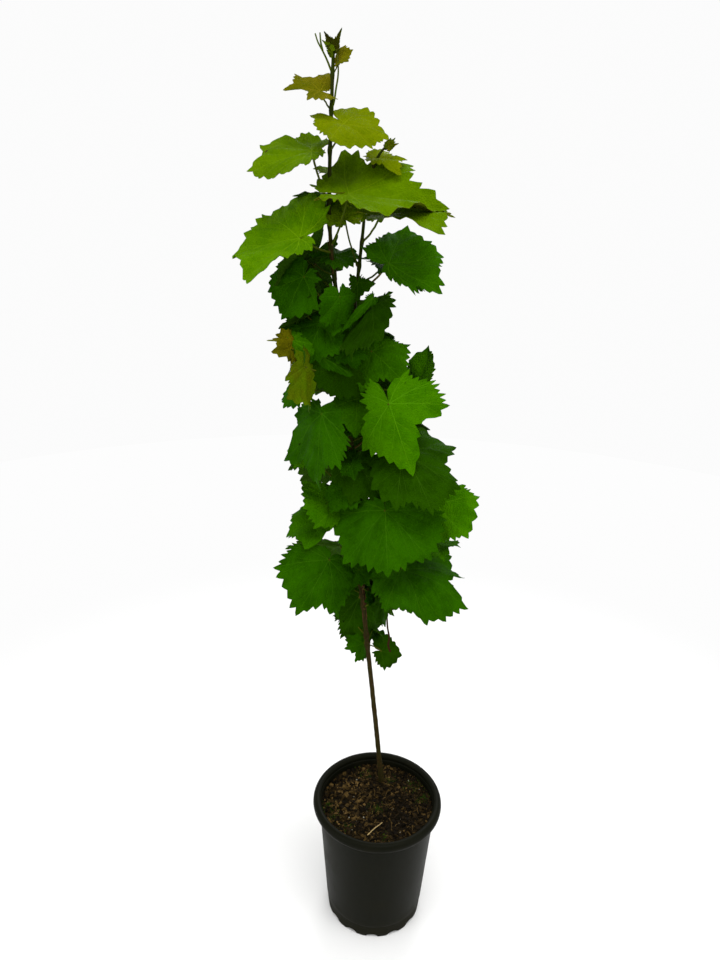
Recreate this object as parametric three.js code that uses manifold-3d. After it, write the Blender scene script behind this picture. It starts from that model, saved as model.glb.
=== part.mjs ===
// Young grapevine in a round nursery pot. Millimetres, +Z up, origin at the middle of the pot's underside.
// -Y is the front. Bearings are in degrees from +X, seen from above, and grow towards +Y.
import * as THREE from 'three';
import { mergeVertices } from 'three/addons/utils/BufferGeometryUtils.js';
import Module from 'manifold-3d';

const wasm = await Module();
wasm.setup();

// Driving dimensions
const GAP = 0.3;

const POT = {
  height: 207,
  lipRadius: 98,
  lipDrop: 12,
  mouthRadius: 86,
  neckRadius: 88.5,
  footRadius: 74,
  stepHeight: 22,
  stepDepth: 1.5,
  wall: 2,
  floor: 4,
  drains: 6,
  drainRadius: 8,
  sides: 24,
};
const SOIL = { top: 188, sides: 24 };

// The course of a shoot lists its sideways and backward drift and the height, from its foot to its tip
const STEM = {
  course: [[7, 48, 178], [-9, 27, 340], [-22, 15, 460], [-39, 8, 620], [-54, 4, 800],
    [-70, 2, 940], [-80, 0, 1030], [-79, 0, 1150], [-77, 0, 1222]],
  footRadius: 5.5,
  flare: 0.03,
  baseRadius: 3.7,
  tipRadius: 1.9,
  sides: 7,
  steps: 16,
};
const SIDE_SHOOT = {
  course: [[-60, 3, 875], [-50, 8, 945], [-43, 8, 1015], [-37, 9, 1075], [-24, 10, 1110], [-13, 10, 1121]],
  baseRadius: 2.6,
  tipRadius: 1.4,
  sides: 6,
  steps: 10,
};

// Proportions that all leaves share, as parts of the blade's length unless they are in millimetres
const LEAF = {
  lobes: 7,
  taper: 0.52,
  notch: 0.16,
  sinus: 0.75,
  sinusAngle: 14,
  bend: 0.12,
  shoulder: 0.55,
  halfThickness: 1.2,
  stalkRadius: 1.2,
  stalkSides: 4,
  stalkSteps: 3,
  stalkArch: 0.25,
  wideBlade: 75,
};

const LEAVES = {
  low: [
    { node: 465, side: 33, reach: 24, rise: -18, tip: 13, dip: 19, roll: 63, blade: 31, fold: -0.25 },
    { node: 480, side: 105, reach: 13, rise: -20, tip: 230, dip: 66, roll: -77, blade: 28, fold: -0.17 },
    { node: 550, side: 108, reach: 14, rise: -14, tip: 204, dip: 73, roll: -90, blade: 69 },
    { node: 560, side: 320, reach: 34, rise: -8, tip: 333, dip: 61, roll: -7, blade: 32 },
    { node: 580, side: 319, reach: 73, rise: 36, tip: 294, dip: 12, roll: -8, blade: 80, fold: 0.11 },
    { node: 600, side: 231, reach: 60, rise: 24, tip: 250, dip: 30, roll: -50, blade: 74, fold: 0.05 },
    { node: 620, side: 347, reach: 102, rise: 25, tip: 338, dip: -10, roll: 3, blade: 31, fold: -0.15 },
    { node: 635, side: 195, reach: 45, rise: 33, tip: 204, dip: 9, roll: -11, blade: 49 },
    { node: 655, side: 299, reach: 79, rise: 51, tip: 274, dip: 41, roll: 15, blade: 75, fold: -0.39 },
    { node: 665, side: 225, reach: 29, rise: 29, tip: 219, dip: -8, roll: -35, blade: 48, fold: -0.27 },
    { node: 670, side: 350, reach: 106, rise: 27, tip: 1, dip: -19, roll: 33, blade: 50, fold: -0.11 },
  ],
  middle: [
    { node: 700, side: 165, reach: 72, rise: 60, tip: 200, dip: 60, roll: -21, blade: 36 },
    { node: 715, side: 285, reach: 24, rise: 35, tip: 250, dip: 55, roll: 4, blade: 48, fold: -0.1 },
    { node: 725, side: 322, reach: 80, rise: 49, tip: 300, dip: 29, roll: 19, blade: 74, fold: -0.22 },
    { node: 770, side: 190, reach: 45, rise: 20, tip: 220, dip: 70, roll: 20, blade: 35 },
    { node: 790, side: 236, reach: 55, rise: 29, tip: 259, dip: 63, roll: 34, blade: 83, fold: -0.11 },
    { node: 805, side: 306, reach: 86, rise: 35, tip: 333, dip: 67, roll: 60, blade: 81, fold: -0.3 },
    { node: 815, side: 294, reach: 30, rise: 19, tip: 274, dip: 48, roll: -7, blade: 43, fold: 0.05 },
    { node: 845, side: 263, reach: 38, rise: 33, tip: 10, dip: 106, roll: -82, blade: 36, fold: -0.14 },
    { node: 835, side: 12, reach: 93, rise: 6, tip: 83, dip: -67, roll: -49, blade: 49, fold: 0.09 },
    { node: 860, side: 335, reach: 37, rise: 30, tip: 313, dip: 23, roll: 35, blade: 58 },
    { node: 890, side: 209, reach: 26, rise: 32, tip: 247, dip: 36, roll: -7, blade: 55 },
  ],
  upper: [
    { on: 'side', node: 925, side: 300, reach: 52, rise: 22,
      tip: 243, dip: 37, roll: 27, blade: 70, fold: -0.08 },
    { on: 'side', node: 940, side: 257, reach: 60, rise: 16,
      tip: 320, dip: 86, roll: 6, blade: 31 },
    { node: 935, side: 207, reach: 43, rise: 39, tip: 219, dip: 53, roll: -28, blade: 50, fold: -0.04 },
    { on: 'side', node: 950, side: 280, reach: 18, rise: 18,
      tip: 272, dip: 58, roll: 19, blade: 21, fold: 0.3 },
    { on: 'side', node: 955, side: 326, reach: 46, rise: 36,
      tip: 23, dip: -11, roll: 40, blade: 65, fold: -0.04 },
    { node: 975, side: 122, reach: 8, rise: 21, tip: 20, dip: -3, roll: 24, blade: 34 },
    { node: 1000, side: 227, reach: 48, rise: 16, tip: 170, dip: 8, roll: -36, blade: 83, fold: 0.25 },
    { on: 'side', node: 985, side: 190, reach: 18, rise: 53,
      tip: 119, dip: -32, roll: -15, blade: 41, fold: 0.35 },
    { on: 'side', node: 1012, side: 301, reach: 43, rise: 30,
      tip: 357, dip: -5, roll: 15, blade: 73, fold: 0.25 },
    { node: 1008, side: 305, reach: 38, rise: 55, tip: 358, dip: -1, roll: 23, blade: 99, fold: 0.22 },
  ],
  top: [
    { node: 1070, side: 92, reach: 15, rise: 16, tip: 126, dip: -26, roll: 3, blade: 20, fold: 0.05 },
    { node: 1055, side: 204, reach: 21, rise: 51, tip: 194, dip: 13, roll: -22, blade: 70, fold: 0.08 },
    { node: 1108, side: 319, reach: 21, rise: 25, tip: 323, dip: 25, roll: 21, blade: 42, fold: 0.18 },
  ],
  young: [
    { on: 'side', node: 1093, side: 0, reach: 2, rise: 9,
      tip: 5, dip: -1, roll: 24, blade: 31, fold: 0.08 },
    { node: 1148, side: 180, reach: 12, rise: 18, tip: 190, dip: -7, roll: -32, blade: 36, fold: 0.19 },
    { node: 1182, side: 354, reach: 7, rise: 13, tip: 335, dip: -33, roll: 53, blade: 16, fold: 0.19 },
    { node: 875, side: 216, reach: 72, rise: 19, tip: 209, dip: -35, roll: -47, blade: 24, fold: -0.06 },
    { node: 858, side: 236, reach: 75, rise: 20, tip: 333, dip: 69, roll: -8, blade: 47 },
    { node: 835, side: 215, reach: 69, rise: 14, tip: 208, dip: 49, roll: -9, blade: 26 },
  ],
  back: [
    { node: 530, side: 77, reach: 30, rise: 26, tip: 66, dip: 78, roll: 17, blade: 65 },
    { node: 590, side: 133, reach: 44, rise: 17, tip: 110, dip: 30, roll: 22, blade: 85, fold: -0.12 },
    { node: 625, side: 50, reach: 55, rise: 31, tip: 52, dip: 55, roll: -9, blade: 83 },
    { node: 675, side: 99, reach: 60, rise: 35, tip: 94, dip: 33, roll: 4, blade: 92, fold: 0.06 },
    { node: 735, side: 130, reach: 45, rise: 34, tip: 126, dip: 57, roll: 2, blade: 78, fold: -0.09 },
    { node: 760, side: 45, reach: 60, rise: 35, tip: 47, dip: 40, roll: -5, blade: 85, fold: 0.06 },
    { node: 810, side: 94, reach: 55, rise: 34, tip: 84, dip: 36, roll: 4, blade: 86 },
    { node: 830, side: 152, reach: 50, rise: 28, tip: 155, dip: 45, roll: 0, blade: 60 },
    { node: 880, side: 51, reach: 50, rise: 26, tip: 34, dip: 44, roll: 1, blade: 74 },
    { node: 915, side: 110, reach: 46, rise: 13, tip: 117, dip: 50, roll: 1, blade: 77, fold: 0.04 },
    { node: 955, side: 148, reach: 37, rise: 32, tip: 168, dip: 62, roll: 26, blade: 68 },
    { on: 'side', node: 965, side: 20, reach: 39, rise: 25,
      tip: 17, dip: 14, roll: 11, blade: 58, fold: -0.06 },
    { node: 1030, side: 81, reach: 40, rise: 30, tip: 102, dip: 12, roll: -4, blade: 70, fold: 0.1 },
  ],
};

const COLORS = {
  pot: [0x16191a, 0.55],
  soil: [0x3a2b1c, 1.0],
  wood: [0x5b5a38, 0.9],
  low: [0x2c5a0c, 0.7],
  middle: [0x3f7a10, 0.7],
  upper: [0x4b7d12, 0.7],
  top: [0x7d9a1c, 0.7],
  young: [0x93881f, 0.7],
  back: [0x2f6010, 0.7],
};

const radians = THREE.MathUtils.degToRad;
const plant = new THREE.Group();

function material(name) {
  const [color, roughness] = COLORS[name];
  return new THREE.MeshStandardMaterial({ color, roughness, metalness: 0 });
}

// Merges a closed geometry's shared corners and leaves out the flat triangles at its poles
function toSolid(geometry) {
  geometry.deleteAttribute('normal');
  geometry.deleteAttribute('uv');
  const merged = mergeVertices(geometry, 1e-4);
  const index = Array.from(merged.index.array);
  const triangles = [];
  for (let i = 0; i < index.length; i += 3) {
    const [a, b, c] = index.slice(i, i + 3);
    if (a !== b && b !== c && c !== a) triangles.push(a, b, c);
  }
  return new wasm.Manifold(new wasm.Mesh({
    numProp: 3,
    vertProperties: new Float32Array(merged.attributes.position.array),
    triVerts: new Uint32Array(triangles),
  }));
}

function addPiece(name, solid, materialName, anchor = new THREE.Vector3()) {
  const mesh = solid.getMesh();
  const geometry = new THREE.BufferGeometry();
  geometry.setAttribute('position', new THREE.BufferAttribute(new Float32Array(mesh.vertProperties), 3));
  geometry.setIndex(new THREE.BufferAttribute(new Uint32Array(mesh.triVerts), 1));
  geometry.translate(-anchor.x, -anchor.y, -anchor.z);
  geometry.computeVertexNormals();
  const piece = new THREE.Mesh(geometry, material(materialName));
  piece.name = name;
  piece.position.copy(anchor);
  plant.add(piece);
}

// A lathe turned about the vertical axis
function turned(profile, sides) {
  const points = profile.map(([radius, height]) => new THREE.Vector2(radius, height));
  return toSolid(new THREE.LatheGeometry(points, sides).rotateX(Math.PI / 2));
}

// The pot's outer wall leans out from the step above its foot to its neck
function wallRadius(height) {
  const share = (height - POT.stepHeight) / (POT.height - POT.lipDrop - POT.stepHeight);
  const bottom = POT.footRadius + POT.stepDepth;
  return bottom + (POT.neckRadius - bottom) * share;
}

function makePot() {
  const neck = POT.height - POT.lipDrop;
  const inner = POT.footRadius - POT.wall;
  const shell = turned([
    [0, 0],
    [POT.footRadius - 1, 0],
    [POT.footRadius, POT.stepHeight],
    [wallRadius(POT.stepHeight + 1), POT.stepHeight + 1],
    [POT.neckRadius, neck],
    [POT.lipRadius - 2, neck],
    [POT.lipRadius, POT.height - 4],
    [POT.lipRadius - 4, POT.height],
    [POT.mouthRadius + 3, POT.height],
    [POT.mouthRadius, POT.height - 4],
    [wallRadius(neck) - POT.wall, neck - 2],
    [inner, POT.floor],
    [0, POT.floor],
  ], POT.sides);
  const drain = new THREE.CylinderGeometry(POT.drainRadius, POT.drainRadius, 20, 8);
  let pot = shell;
  for (let i = 0; i < POT.drains; i += 1) {
    const cut = drain.clone().rotateZ(Math.PI / 2).translate(POT.footRadius, 0, 0);
    pot = pot.subtract(toSolid(cut.rotateZ((i + 0.5) * 2 * Math.PI / POT.drains)));
  }
  addPiece('pot', pot, 'pot');
}

function makeSoil() {
  const inner = POT.footRadius - POT.wall - GAP;
  const reach = (height) => wallRadius(height) - POT.wall - GAP - 1;
  addPiece('potting_mix', turned([
    [0, POT.floor + GAP],
    [inner - 1, POT.floor + GAP],
    [inner - 0.5, POT.stepHeight],
    [reach(SOIL.top), SOIL.top],
    [0, SOIL.top],
  ], SOIL.sides), 'soil');
}

// A round limb along a curve. radiusAt takes the share of its length, and level is never along the limb.
function limb(curve, radiusAt, level, sides, steps) {
  const geometry = new THREE.CylinderGeometry(1, 1, 1, sides, steps);
  const place = geometry.attributes.position;
  for (let i = 0; i < place.count; i += 1) {
    const share = place.getY(i) + 0.5;
    const along = curve.getTangentAt(share);
    const across = level.clone().addScaledVector(along, -level.dot(along)).normalize();
    const over = new THREE.Vector3().crossVectors(across, along);
    const radius = radiusAt(share);
    const point = curve.getPointAt(share);
    point.addScaledVector(across, place.getX(i) * radius);
    point.addScaledVector(over, place.getZ(i) * radius);
    place.setXYZ(i, point.x, point.y, point.z);
  }
  return toSolid(geometry);
}

const shootCurve = (shoot) => {
  const places = shoot.course.map((point) => new THREE.Vector3(...point));
  return new THREE.CatmullRomCurve3(places);
};

function shootSolid(shoot, grow) {
  const { baseRadius, tipRadius, footRadius = baseRadius, flare = 1 } = shoot;
  const radiusAt = (share) => {
    const root = (footRadius - baseRadius) * Math.max(0, 1 - share / flare);
    return baseRadius + (tipRadius - baseRadius) * share + root + grow;
  };
  return limb(shootCurve(shoot), radiusAt, new THREE.Vector3(1, 0, 0), shoot.sides, shoot.steps);
}

// The point of a shoot at a height, found by halving
function nodeOf(shoot, height) {
  const curve = shootCurve(shoot);
  let [low, high] = [0, 1];
  for (let i = 0; i < 24; i += 1) {
    const middle = (low + high) / 2;
    if (curve.getPointAt(middle).z < height) low = middle;
    else high = middle;
  }
  return curve.getPointAt(low);
}

function outline(angle) {
  const away = Math.abs(angle);
  const lobes = 1 - LEAF.notch * (1 - Math.cos(LEAF.lobes * away)) / 2;
  const sinus = 1 - LEAF.sinus * Math.exp(-(((Math.PI - away) / radians(LEAF.sinusAngle)) ** 2));
  return (1 - LEAF.taper * away / Math.PI) * lobes * sinus;
}

// Where a leaf's stalk starts and ends, and the directions of its tip, its left side and its upper face
function layOut(leaf) {
  const foot = nodeOf(leaf.on === 'side' ? SIDE_SHOOT : STEM, leaf.node);
  const side = radians(leaf.side);
  const lean = new THREE.Vector3(Math.cos(side), Math.sin(side), 0);
  const joint = foot.clone().addScaledVector(lean, leaf.reach);
  joint.z += leaf.rise;
  const turn = new THREE.Euler(radians(leaf.roll), radians(leaf.dip), radians(leaf.tip), 'ZYX');
  return { foot, lean, joint, turn };
}

// A thin pad in the leaf's outline, bent down towards its margin and folded along its midrib
function bladeSolid(leaf, grow) {
  const { joint, turn } = layOut(leaf);
  const half = LEAF.halfThickness + grow;
  const rim = grow > 0 ? [[1, -grow], [1, grow]] : [[1, 0]];
  const shoulders = leaf.blade >= LEAF.wideBlade ? [LEAF.shoulder] : [];
  const [under, over] = [-half, half].map((height) => shoulders.map((radius) => [radius, height]));
  const section = [[0, -half], ...under, ...rim, ...over, [0, half]];
  const profile = section.map((point) => new THREE.Vector2(...point));
  const disc = new THREE.LatheGeometry(profile, 2 * LEAF.lobes, Math.PI / 2);
  const place = disc.attributes.position;
  for (let i = 0; i < place.count; i += 1) {
    const [x, height, z] = [place.getX(i), place.getY(i), place.getZ(i)];
    const share = Math.hypot(x, z);
    const angle = share > 0 ? Math.atan2(-z, x) : 0;
    const radius = share * outline(angle) * (leaf.blade + 2 * grow);
    const [ahead, left] = [radius * Math.cos(angle), radius * Math.sin(angle)];
    const drop = LEAF.bend * radius ** 2 / leaf.blade;
    place.setXYZ(i, ahead, left, height - drop + (leaf.fold ?? 0) * Math.abs(left));
  }
  const stand = new THREE.Matrix4().makeRotationFromEuler(turn).setPosition(joint);
  return toSolid(disc.applyMatrix4(stand));
}

function stalkSolid(leaf, grow) {
  const { foot, lean, joint } = layOut(leaf);
  const knee = foot.clone().addScaledVector(lean, leaf.reach / 2);
  knee.z += leaf.rise * (0.5 - LEAF.stalkArch);
  const curve = new THREE.QuadraticBezierCurve3(foot, knee, joint);
  const level = new THREE.Vector3(-lean.y, lean.x, 0);
  return limb(curve, () => LEAF.stalkRadius + grow, level, LEAF.stalkSides, LEAF.stalkSteps);
}

// Of the bodies that a cut leaves, the largest is kept
function largest(solid) {
  const bodies = solid.decompose();
  return bodies.reduce((best, body) => (body.volume() > best.volume() ? body : best));
}

function makeShoots() {
  const stemRoom = shootSolid(STEM, GAP);
  const sideShoot = largest(shootSolid(SIDE_SHOOT, 0).subtract(stemRoom));
  const ground = new THREE.CylinderGeometry(40, 40, 40, 12).rotateX(Math.PI / 2);
  const foot = nodeOf(STEM, SOIL.top + GAP);
  const stem = shootSolid(STEM, 0).subtract(toSolid(ground.translate(foot.x, foot.y, foot.z - 20)));
  addPiece('stem', stem, 'wood', foot);
  addPiece('side_shoot', sideShoot, 'wood', new THREE.Vector3(...SIDE_SHOOT.course[0]));
}

// Leaves come in the order in which they are kept whole. Each blade gives way to the shoots, to every
// other leaf's stalk and to the blades before it, and each stalk to the stalks before it.
function makeLeaves() {
  const shoots = shootSolid(STEM, GAP).add(shootSolid(SIDE_SHOOT, GAP));
  const leaves = Object.entries(LEAVES).flatMap(([group, members]) => (
    members.map((leaf, i) => ({ ...leaf, group, name: `${group}_leaf_${i + 1}` }))
  ));
  const stalkRooms = leaves.map((leaf) => stalkSolid(leaf, GAP));
  const bladeRooms = leaves.map((leaf) => bladeSolid(leaf, GAP));
  leaves.forEach((leaf, i) => {
    let blade = bladeSolid(leaf, 0).subtract(shoots);
    let stalk = stalkSolid(leaf, 0).subtract(shoots);
    leaves.forEach((other, j) => {
      if (j !== i) blade = blade.subtract(stalkRooms[j]);
      if (j < i) {
        blade = blade.subtract(bladeRooms[j]);
        stalk = stalk.subtract(stalkRooms[j]);
      }
    });
    addPiece(leaf.name, largest(blade.add(stalk)), leaf.group, layOut(leaf).joint);
  });
}

makePot();
makeSoil();
makeShoots();
makeLeaves();

export default plant;
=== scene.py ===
# A young grapevine in a black nursery pot. Metres, Z up, -Y is the front.
import math
import random

import bpy
import numpy as np
from mathutils import Euler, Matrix, Vector, geometry, noise


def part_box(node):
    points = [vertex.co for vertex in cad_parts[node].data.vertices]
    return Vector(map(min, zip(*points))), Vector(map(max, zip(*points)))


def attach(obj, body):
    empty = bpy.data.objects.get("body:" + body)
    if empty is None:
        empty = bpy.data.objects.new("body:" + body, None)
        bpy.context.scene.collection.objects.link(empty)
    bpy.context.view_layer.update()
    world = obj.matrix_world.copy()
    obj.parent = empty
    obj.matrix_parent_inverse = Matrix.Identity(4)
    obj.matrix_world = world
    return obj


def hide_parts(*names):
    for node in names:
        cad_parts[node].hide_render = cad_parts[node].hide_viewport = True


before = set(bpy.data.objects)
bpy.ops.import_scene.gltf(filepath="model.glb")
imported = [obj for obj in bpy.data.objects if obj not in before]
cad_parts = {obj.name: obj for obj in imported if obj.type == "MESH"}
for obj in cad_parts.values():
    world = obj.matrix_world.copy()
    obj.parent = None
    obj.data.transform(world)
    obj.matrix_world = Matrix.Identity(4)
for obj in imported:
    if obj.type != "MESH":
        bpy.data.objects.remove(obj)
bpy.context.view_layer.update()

mm = 0.001
fullTurn = 6.28          # radians, near enough for turns drawn at random
print("frame loaded:", len(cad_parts), "parts")


def colour(red, green, blue):
    # 0-255 display values to the linear colour that shaders take
    def linear(value):
        share = value / 255
        return share / 12.92 if share <= 0.04045 else ((share + 0.055) / 1.055) ** 2.4
    return (linear(red), linear(green), linear(blue), 1.0)


def newGroup(name, inputs, outputs):
    # inputs and outputs: {socket name: (kind, default)}
    group = bpy.data.node_groups.new(name, "ShaderNodeTree")
    for direction, sockets in (("INPUT", inputs), ("OUTPUT", outputs)):
        for label, (kind, default) in sockets.items():
            socket = group.interface.new_socket(label, in_out=direction, socket_type="NodeSocket" + kind)
            if default is not None:
                socket.default_value = default
    return group, group.nodes.new("NodeGroupInput"), group.nodes.new("NodeGroupOutput")


def feed(tree, value, socket):
    # value is an output socket to link from, or a plain value
    if isinstance(value, bpy.types.NodeSocket):
        tree.links.new(value, socket)
    else:
        socket.default_value = value


def addNode(tree, kind, settings=None, **sockets):
    # sockets by name, or as in0, in1 and so on by number
    node = tree.nodes.new("ShaderNode" + kind)
    for key, value in (settings or {}).items():
        setattr(node, key, value)
    for key, value in sockets.items():
        numbered = key.startswith("in") and key[2:].isdigit()
        feed(tree, value, node.inputs[int(key[2:]) if numbered else key])
    return node


def mixColour(tree, share, first, second):
    # sockets 6 and 7 of a colour mix are its two colours
    return addNode(tree, "Mix", {"data_type": "RGBA"}, in0=share, in6=first, in7=second).outputs[2]


def arithmetic(tree, kind, *values):
    sockets = {f"in{i}": value for i, value in enumerate(values)}
    return addNode(tree, "Math", {"operation": kind}, **sockets).outputs[0]


def spread(tree, value, low, high, toLow=0.0, toHigh=1.0):
    # A soft step from toLow to toHigh as value goes from low to high
    node = addNode(tree, "MapRange", {"interpolation_type": "SMOOTHSTEP"}, Value=value)
    for label, number in (("From Min", low), ("From Max", high), ("To Min", toLow), ("To Max", toHigh)):
        feed(tree, number, node.inputs[label])
    return node.outputs[0]


def place(tree):
    return addNode(tree, "TexCoord").outputs["Object"]


def noiseAt(tree, vector, scale, detail=3.0, roughness=0.55):
    node = addNode(tree, "TexNoise", None, Vector=vector, Scale=scale, Detail=detail, Roughness=roughness)
    return node.outputs["Fac"]


def mottleGroup():
    # Soft patches of a second and a third colour, at two sizes
    group, inside, outside = newGroup("mottle", {
        "Colour": ("Color", (0.5, 0.5, 0.5, 1)),
        "Patch Colour": ("Color", (0.4, 0.4, 0.4, 1)),
        "Fleck Colour": ("Color", (0.6, 0.6, 0.6, 1)),
        "Patches": ("Float", 0.5),
        "Flecks": ("Float", 0.3),
        "Patch Scale": ("Float", 25.0),
        "Fleck Scale": ("Float", 300.0),
    }, {"Colour": ("Color", None), "Mask": ("Float", None)})
    here = place(group)
    patch = spread(group, noiseAt(group, here, inside.outputs["Patch Scale"]), 0.38, 0.68)
    fleck = spread(group, noiseAt(group, here, inside.outputs["Fleck Scale"], 2.0), 0.52, 0.72)
    patchShare = arithmetic(group, "MULTIPLY", patch, inside.outputs["Patches"])
    fleckShare = arithmetic(group, "MULTIPLY", fleck, inside.outputs["Flecks"])
    first = mixColour(group, patchShare, inside.outputs["Colour"], inside.outputs["Patch Colour"])
    second = mixColour(group, fleckShare, first, inside.outputs["Fleck Colour"])
    group.links.new(second, outside.inputs["Colour"])
    group.links.new(patch, outside.inputs["Mask"])
    return group


def blisterGroup():
    # The fine net of cells that veins press into a leaf
    group, inside, outside = newGroup("blister", {
        "Cell Scale": ("Float", 260.0),
        "Grain Scale": ("Float", 1500.0),
        "Grain": ("Float", 0.3),
    }, {"Height": ("Float", None)})
    here = place(group)
    bend = addNode(group, "TexNoise", None, Vector=here, Scale=140.0)
    shifted = addNode(group, "VectorMath", {"operation": "MULTIPLY_ADD"}, in0=bend.outputs["Color"],
                      in1=(0.004, 0.004, 0.004), in2=here)
    cells = addNode(group, "TexVoronoi", {"feature": "DISTANCE_TO_EDGE"}, Vector=shifted.outputs[0])
    group.links.new(inside.outputs["Cell Scale"], cells.inputs["Scale"])
    dome = spread(group, cells.outputs["Distance"], 0.0, 0.35)
    grain = noiseAt(group, here, inside.outputs["Grain Scale"], 2.0)
    total = arithmetic(group, "MULTIPLY_ADD", grain, inside.outputs["Grain"], dome)
    group.links.new(total, outside.inputs["Height"])
    return group


def fibreGroup():
    # Long streaks that run up a shoot
    group, inside, outside = newGroup("fibre", {
        "Across": ("Float", 900.0),
        "Along": ("Float", 45.0),
    }, {"Mask": ("Float", None), "Height": ("Float", None)})
    here = place(group)
    parts = addNode(group, "SeparateXYZ", None, Vector=here)
    squeezed = addNode(group, "CombineXYZ")
    for axis, label in ((0, "Across"), (1, "Across"), (2, "Along")):
        scaled = arithmetic(group, "MULTIPLY", parts.outputs[axis], inside.outputs[label])
        group.links.new(scaled, squeezed.inputs[axis])
    streak = noiseAt(group, squeezed.outputs[0], 1.0, 4.0)
    group.links.new(spread(group, streak, 0.4, 0.65), outside.inputs["Mask"])
    group.links.new(streak, outside.inputs["Height"])
    return group


def dustGroup():
    # Dry dust, water marks and light scuffs on moulded plastic
    group, inside, outside = newGroup("dust", {
        "Plastic": ("Color", (0.01, 0.01, 0.01, 1)),
        "Dust": ("Color", (0.1, 0.09, 0.07, 1)),
        "Amount": ("Float", 0.3),
        "Low Edge": ("Float", 0.05),
        "Roughness": ("Float", 0.4),
    }, {"Colour": ("Color", None), "Roughness": ("Float", None), "Height": ("Float", None)})
    here = place(group)
    cloud = spread(group, noiseAt(group, here, 22.0, 6.0, 0.65), 0.45, 0.75)
    speck = spread(group, noiseAt(group, here, 900.0, 2.0), 0.62, 0.74)
    height = addNode(group, "SeparateXYZ", None, Vector=here).outputs[2]
    low = spread(group, height, 0.0, inside.outputs["Low Edge"], 1.0, 0.0)
    stretched = addNode(group, "Mapping", None, Vector=here, Scale=(1.0, 1.0, 0.07))
    scuff = spread(group, noiseAt(group, stretched.outputs[0], 420.0, 3.0), 0.62, 0.72)
    wear = arithmetic(group, "ADD", arithmetic(group, "MULTIPLY", cloud, 0.35),
                      arithmetic(group, "MULTIPLY", speck, 0.45))
    wear = arithmetic(group, "ADD", wear, arithmetic(group, "MULTIPLY", low, 0.5))
    wear = arithmetic(group, "ADD", wear, arithmetic(group, "MULTIPLY", scuff, 0.25))
    share = arithmetic(group, "MULTIPLY", wear, inside.outputs["Amount"])
    group.links.new(mixColour(group, share, inside.outputs["Plastic"], inside.outputs["Dust"]),
                    outside.inputs["Colour"])
    rough = arithmetic(group, "MULTIPLY_ADD", wear, 0.3, inside.outputs["Roughness"])
    group.links.new(rough, outside.inputs["Roughness"])
    group.links.new(noiseAt(group, here, 1400.0, 2.0), outside.inputs["Height"])
    return group


mottle = mottleGroup()
blister = blisterGroup()
fibre = fibreGroup()
dust = dustGroup()


def placeGroup(tree, group, **values):
    node = tree.nodes.new("ShaderNodeGroup")
    node.node_tree = group
    for label, value in values.items():
        feed(tree, value, node.inputs[label.replace("_", " ")])
    return node


def newMaterial(name, base, specular=0.3, roughness=0.6):
    material = bpy.data.materials.new(name)
    material.use_nodes = True
    material.diffuse_color = base
    shader = material.node_tree.nodes["Principled BSDF"]
    shader.inputs["Base Color"].default_value = base
    shader.inputs["Roughness"].default_value = roughness
    shader.inputs["Specular IOR Level"].default_value = specular
    return material, material.node_tree, shader


def addBump(tree, shader, height, depth, strength=1.0):
    bump = addNode(tree, "Bump", None, Height=height, Distance=depth, Strength=strength)
    tree.links.new(bump.outputs[0], shader.inputs["Normal"])


def mottledMaterial(name, base, patch, fleck, specular, roughness, **values):
    # A material whose colour is broken up by patches and flecks
    material, tree, shader = newMaterial(name, base, specular, roughness)
    spots = placeGroup(tree, mottle, Colour=base, Patch_Colour=patch, Fleck_Colour=fleck, **values)
    tree.links.new(spots.outputs["Colour"], shader.inputs["Base Color"])
    return material, tree, shader, spots


def addFibres(tree, shader, across, along, depth):
    streaks = placeGroup(tree, fibre, Across=across, Along=along)
    addBump(tree, shader, streaks.outputs["Height"], depth)


def streakedMaterial(name, base, streak, specular, roughness, scale):
    # A dry stalk, with a second colour in streaks
    material, tree, shader = newMaterial(name, base, specular, roughness)
    streaks = placeGroup(tree, fibre, Across=scale, Along=scale)
    tree.links.new(mixColour(tree, streaks.outputs["Mask"], base, streak), shader.inputs["Base Color"])
    addBump(tree, shader, streaks.outputs["Height"], 0.0003)
    return material


def leafMaterial(name, base, patch, fleck, roughness, specular):
    material, tree, shader, spots = mottledMaterial(
        name, base, patch, fleck, specular, roughness,
        Patches=0.8, Flecks=0.25, Patch_Scale=38.0, Fleck_Scale=420.0)
    shader.inputs["Specular Tint"].default_value = (0.75, 1.0, 0.1, 1.0)
    rough = spread(tree, spots.outputs["Mask"], 0.0, 1.0, roughness - 0.05, roughness + 0.08)
    tree.links.new(rough, shader.inputs["Roughness"])
    net = placeGroup(tree, blister, Cell_Scale=330.0, Grain_Scale=1600.0, Grain=0.25)
    addBump(tree, shader, net.outputs["Height"], 0.0005)
    return material


def newHeap():
    return {"points": [], "faces": [], "paints": [], "count": 0}


def addPart(heap, points, faces, paint=0, more=()):
    # faces are rows of indices into points, and paint is their material slot; more holds further such pairs
    heap["points"].append(np.asarray(points, float).reshape(-1, 3))
    for rows, slot in ((faces, paint), *more):
        for size in {len(face) for face in rows}:
            chosen = np.array([face for face in rows if len(face) == size], int)
            heap["faces"].append(chosen + heap["count"])
            heap["paints"].append(np.full(len(chosen), slot, int))
    heap["count"] += len(points)


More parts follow.
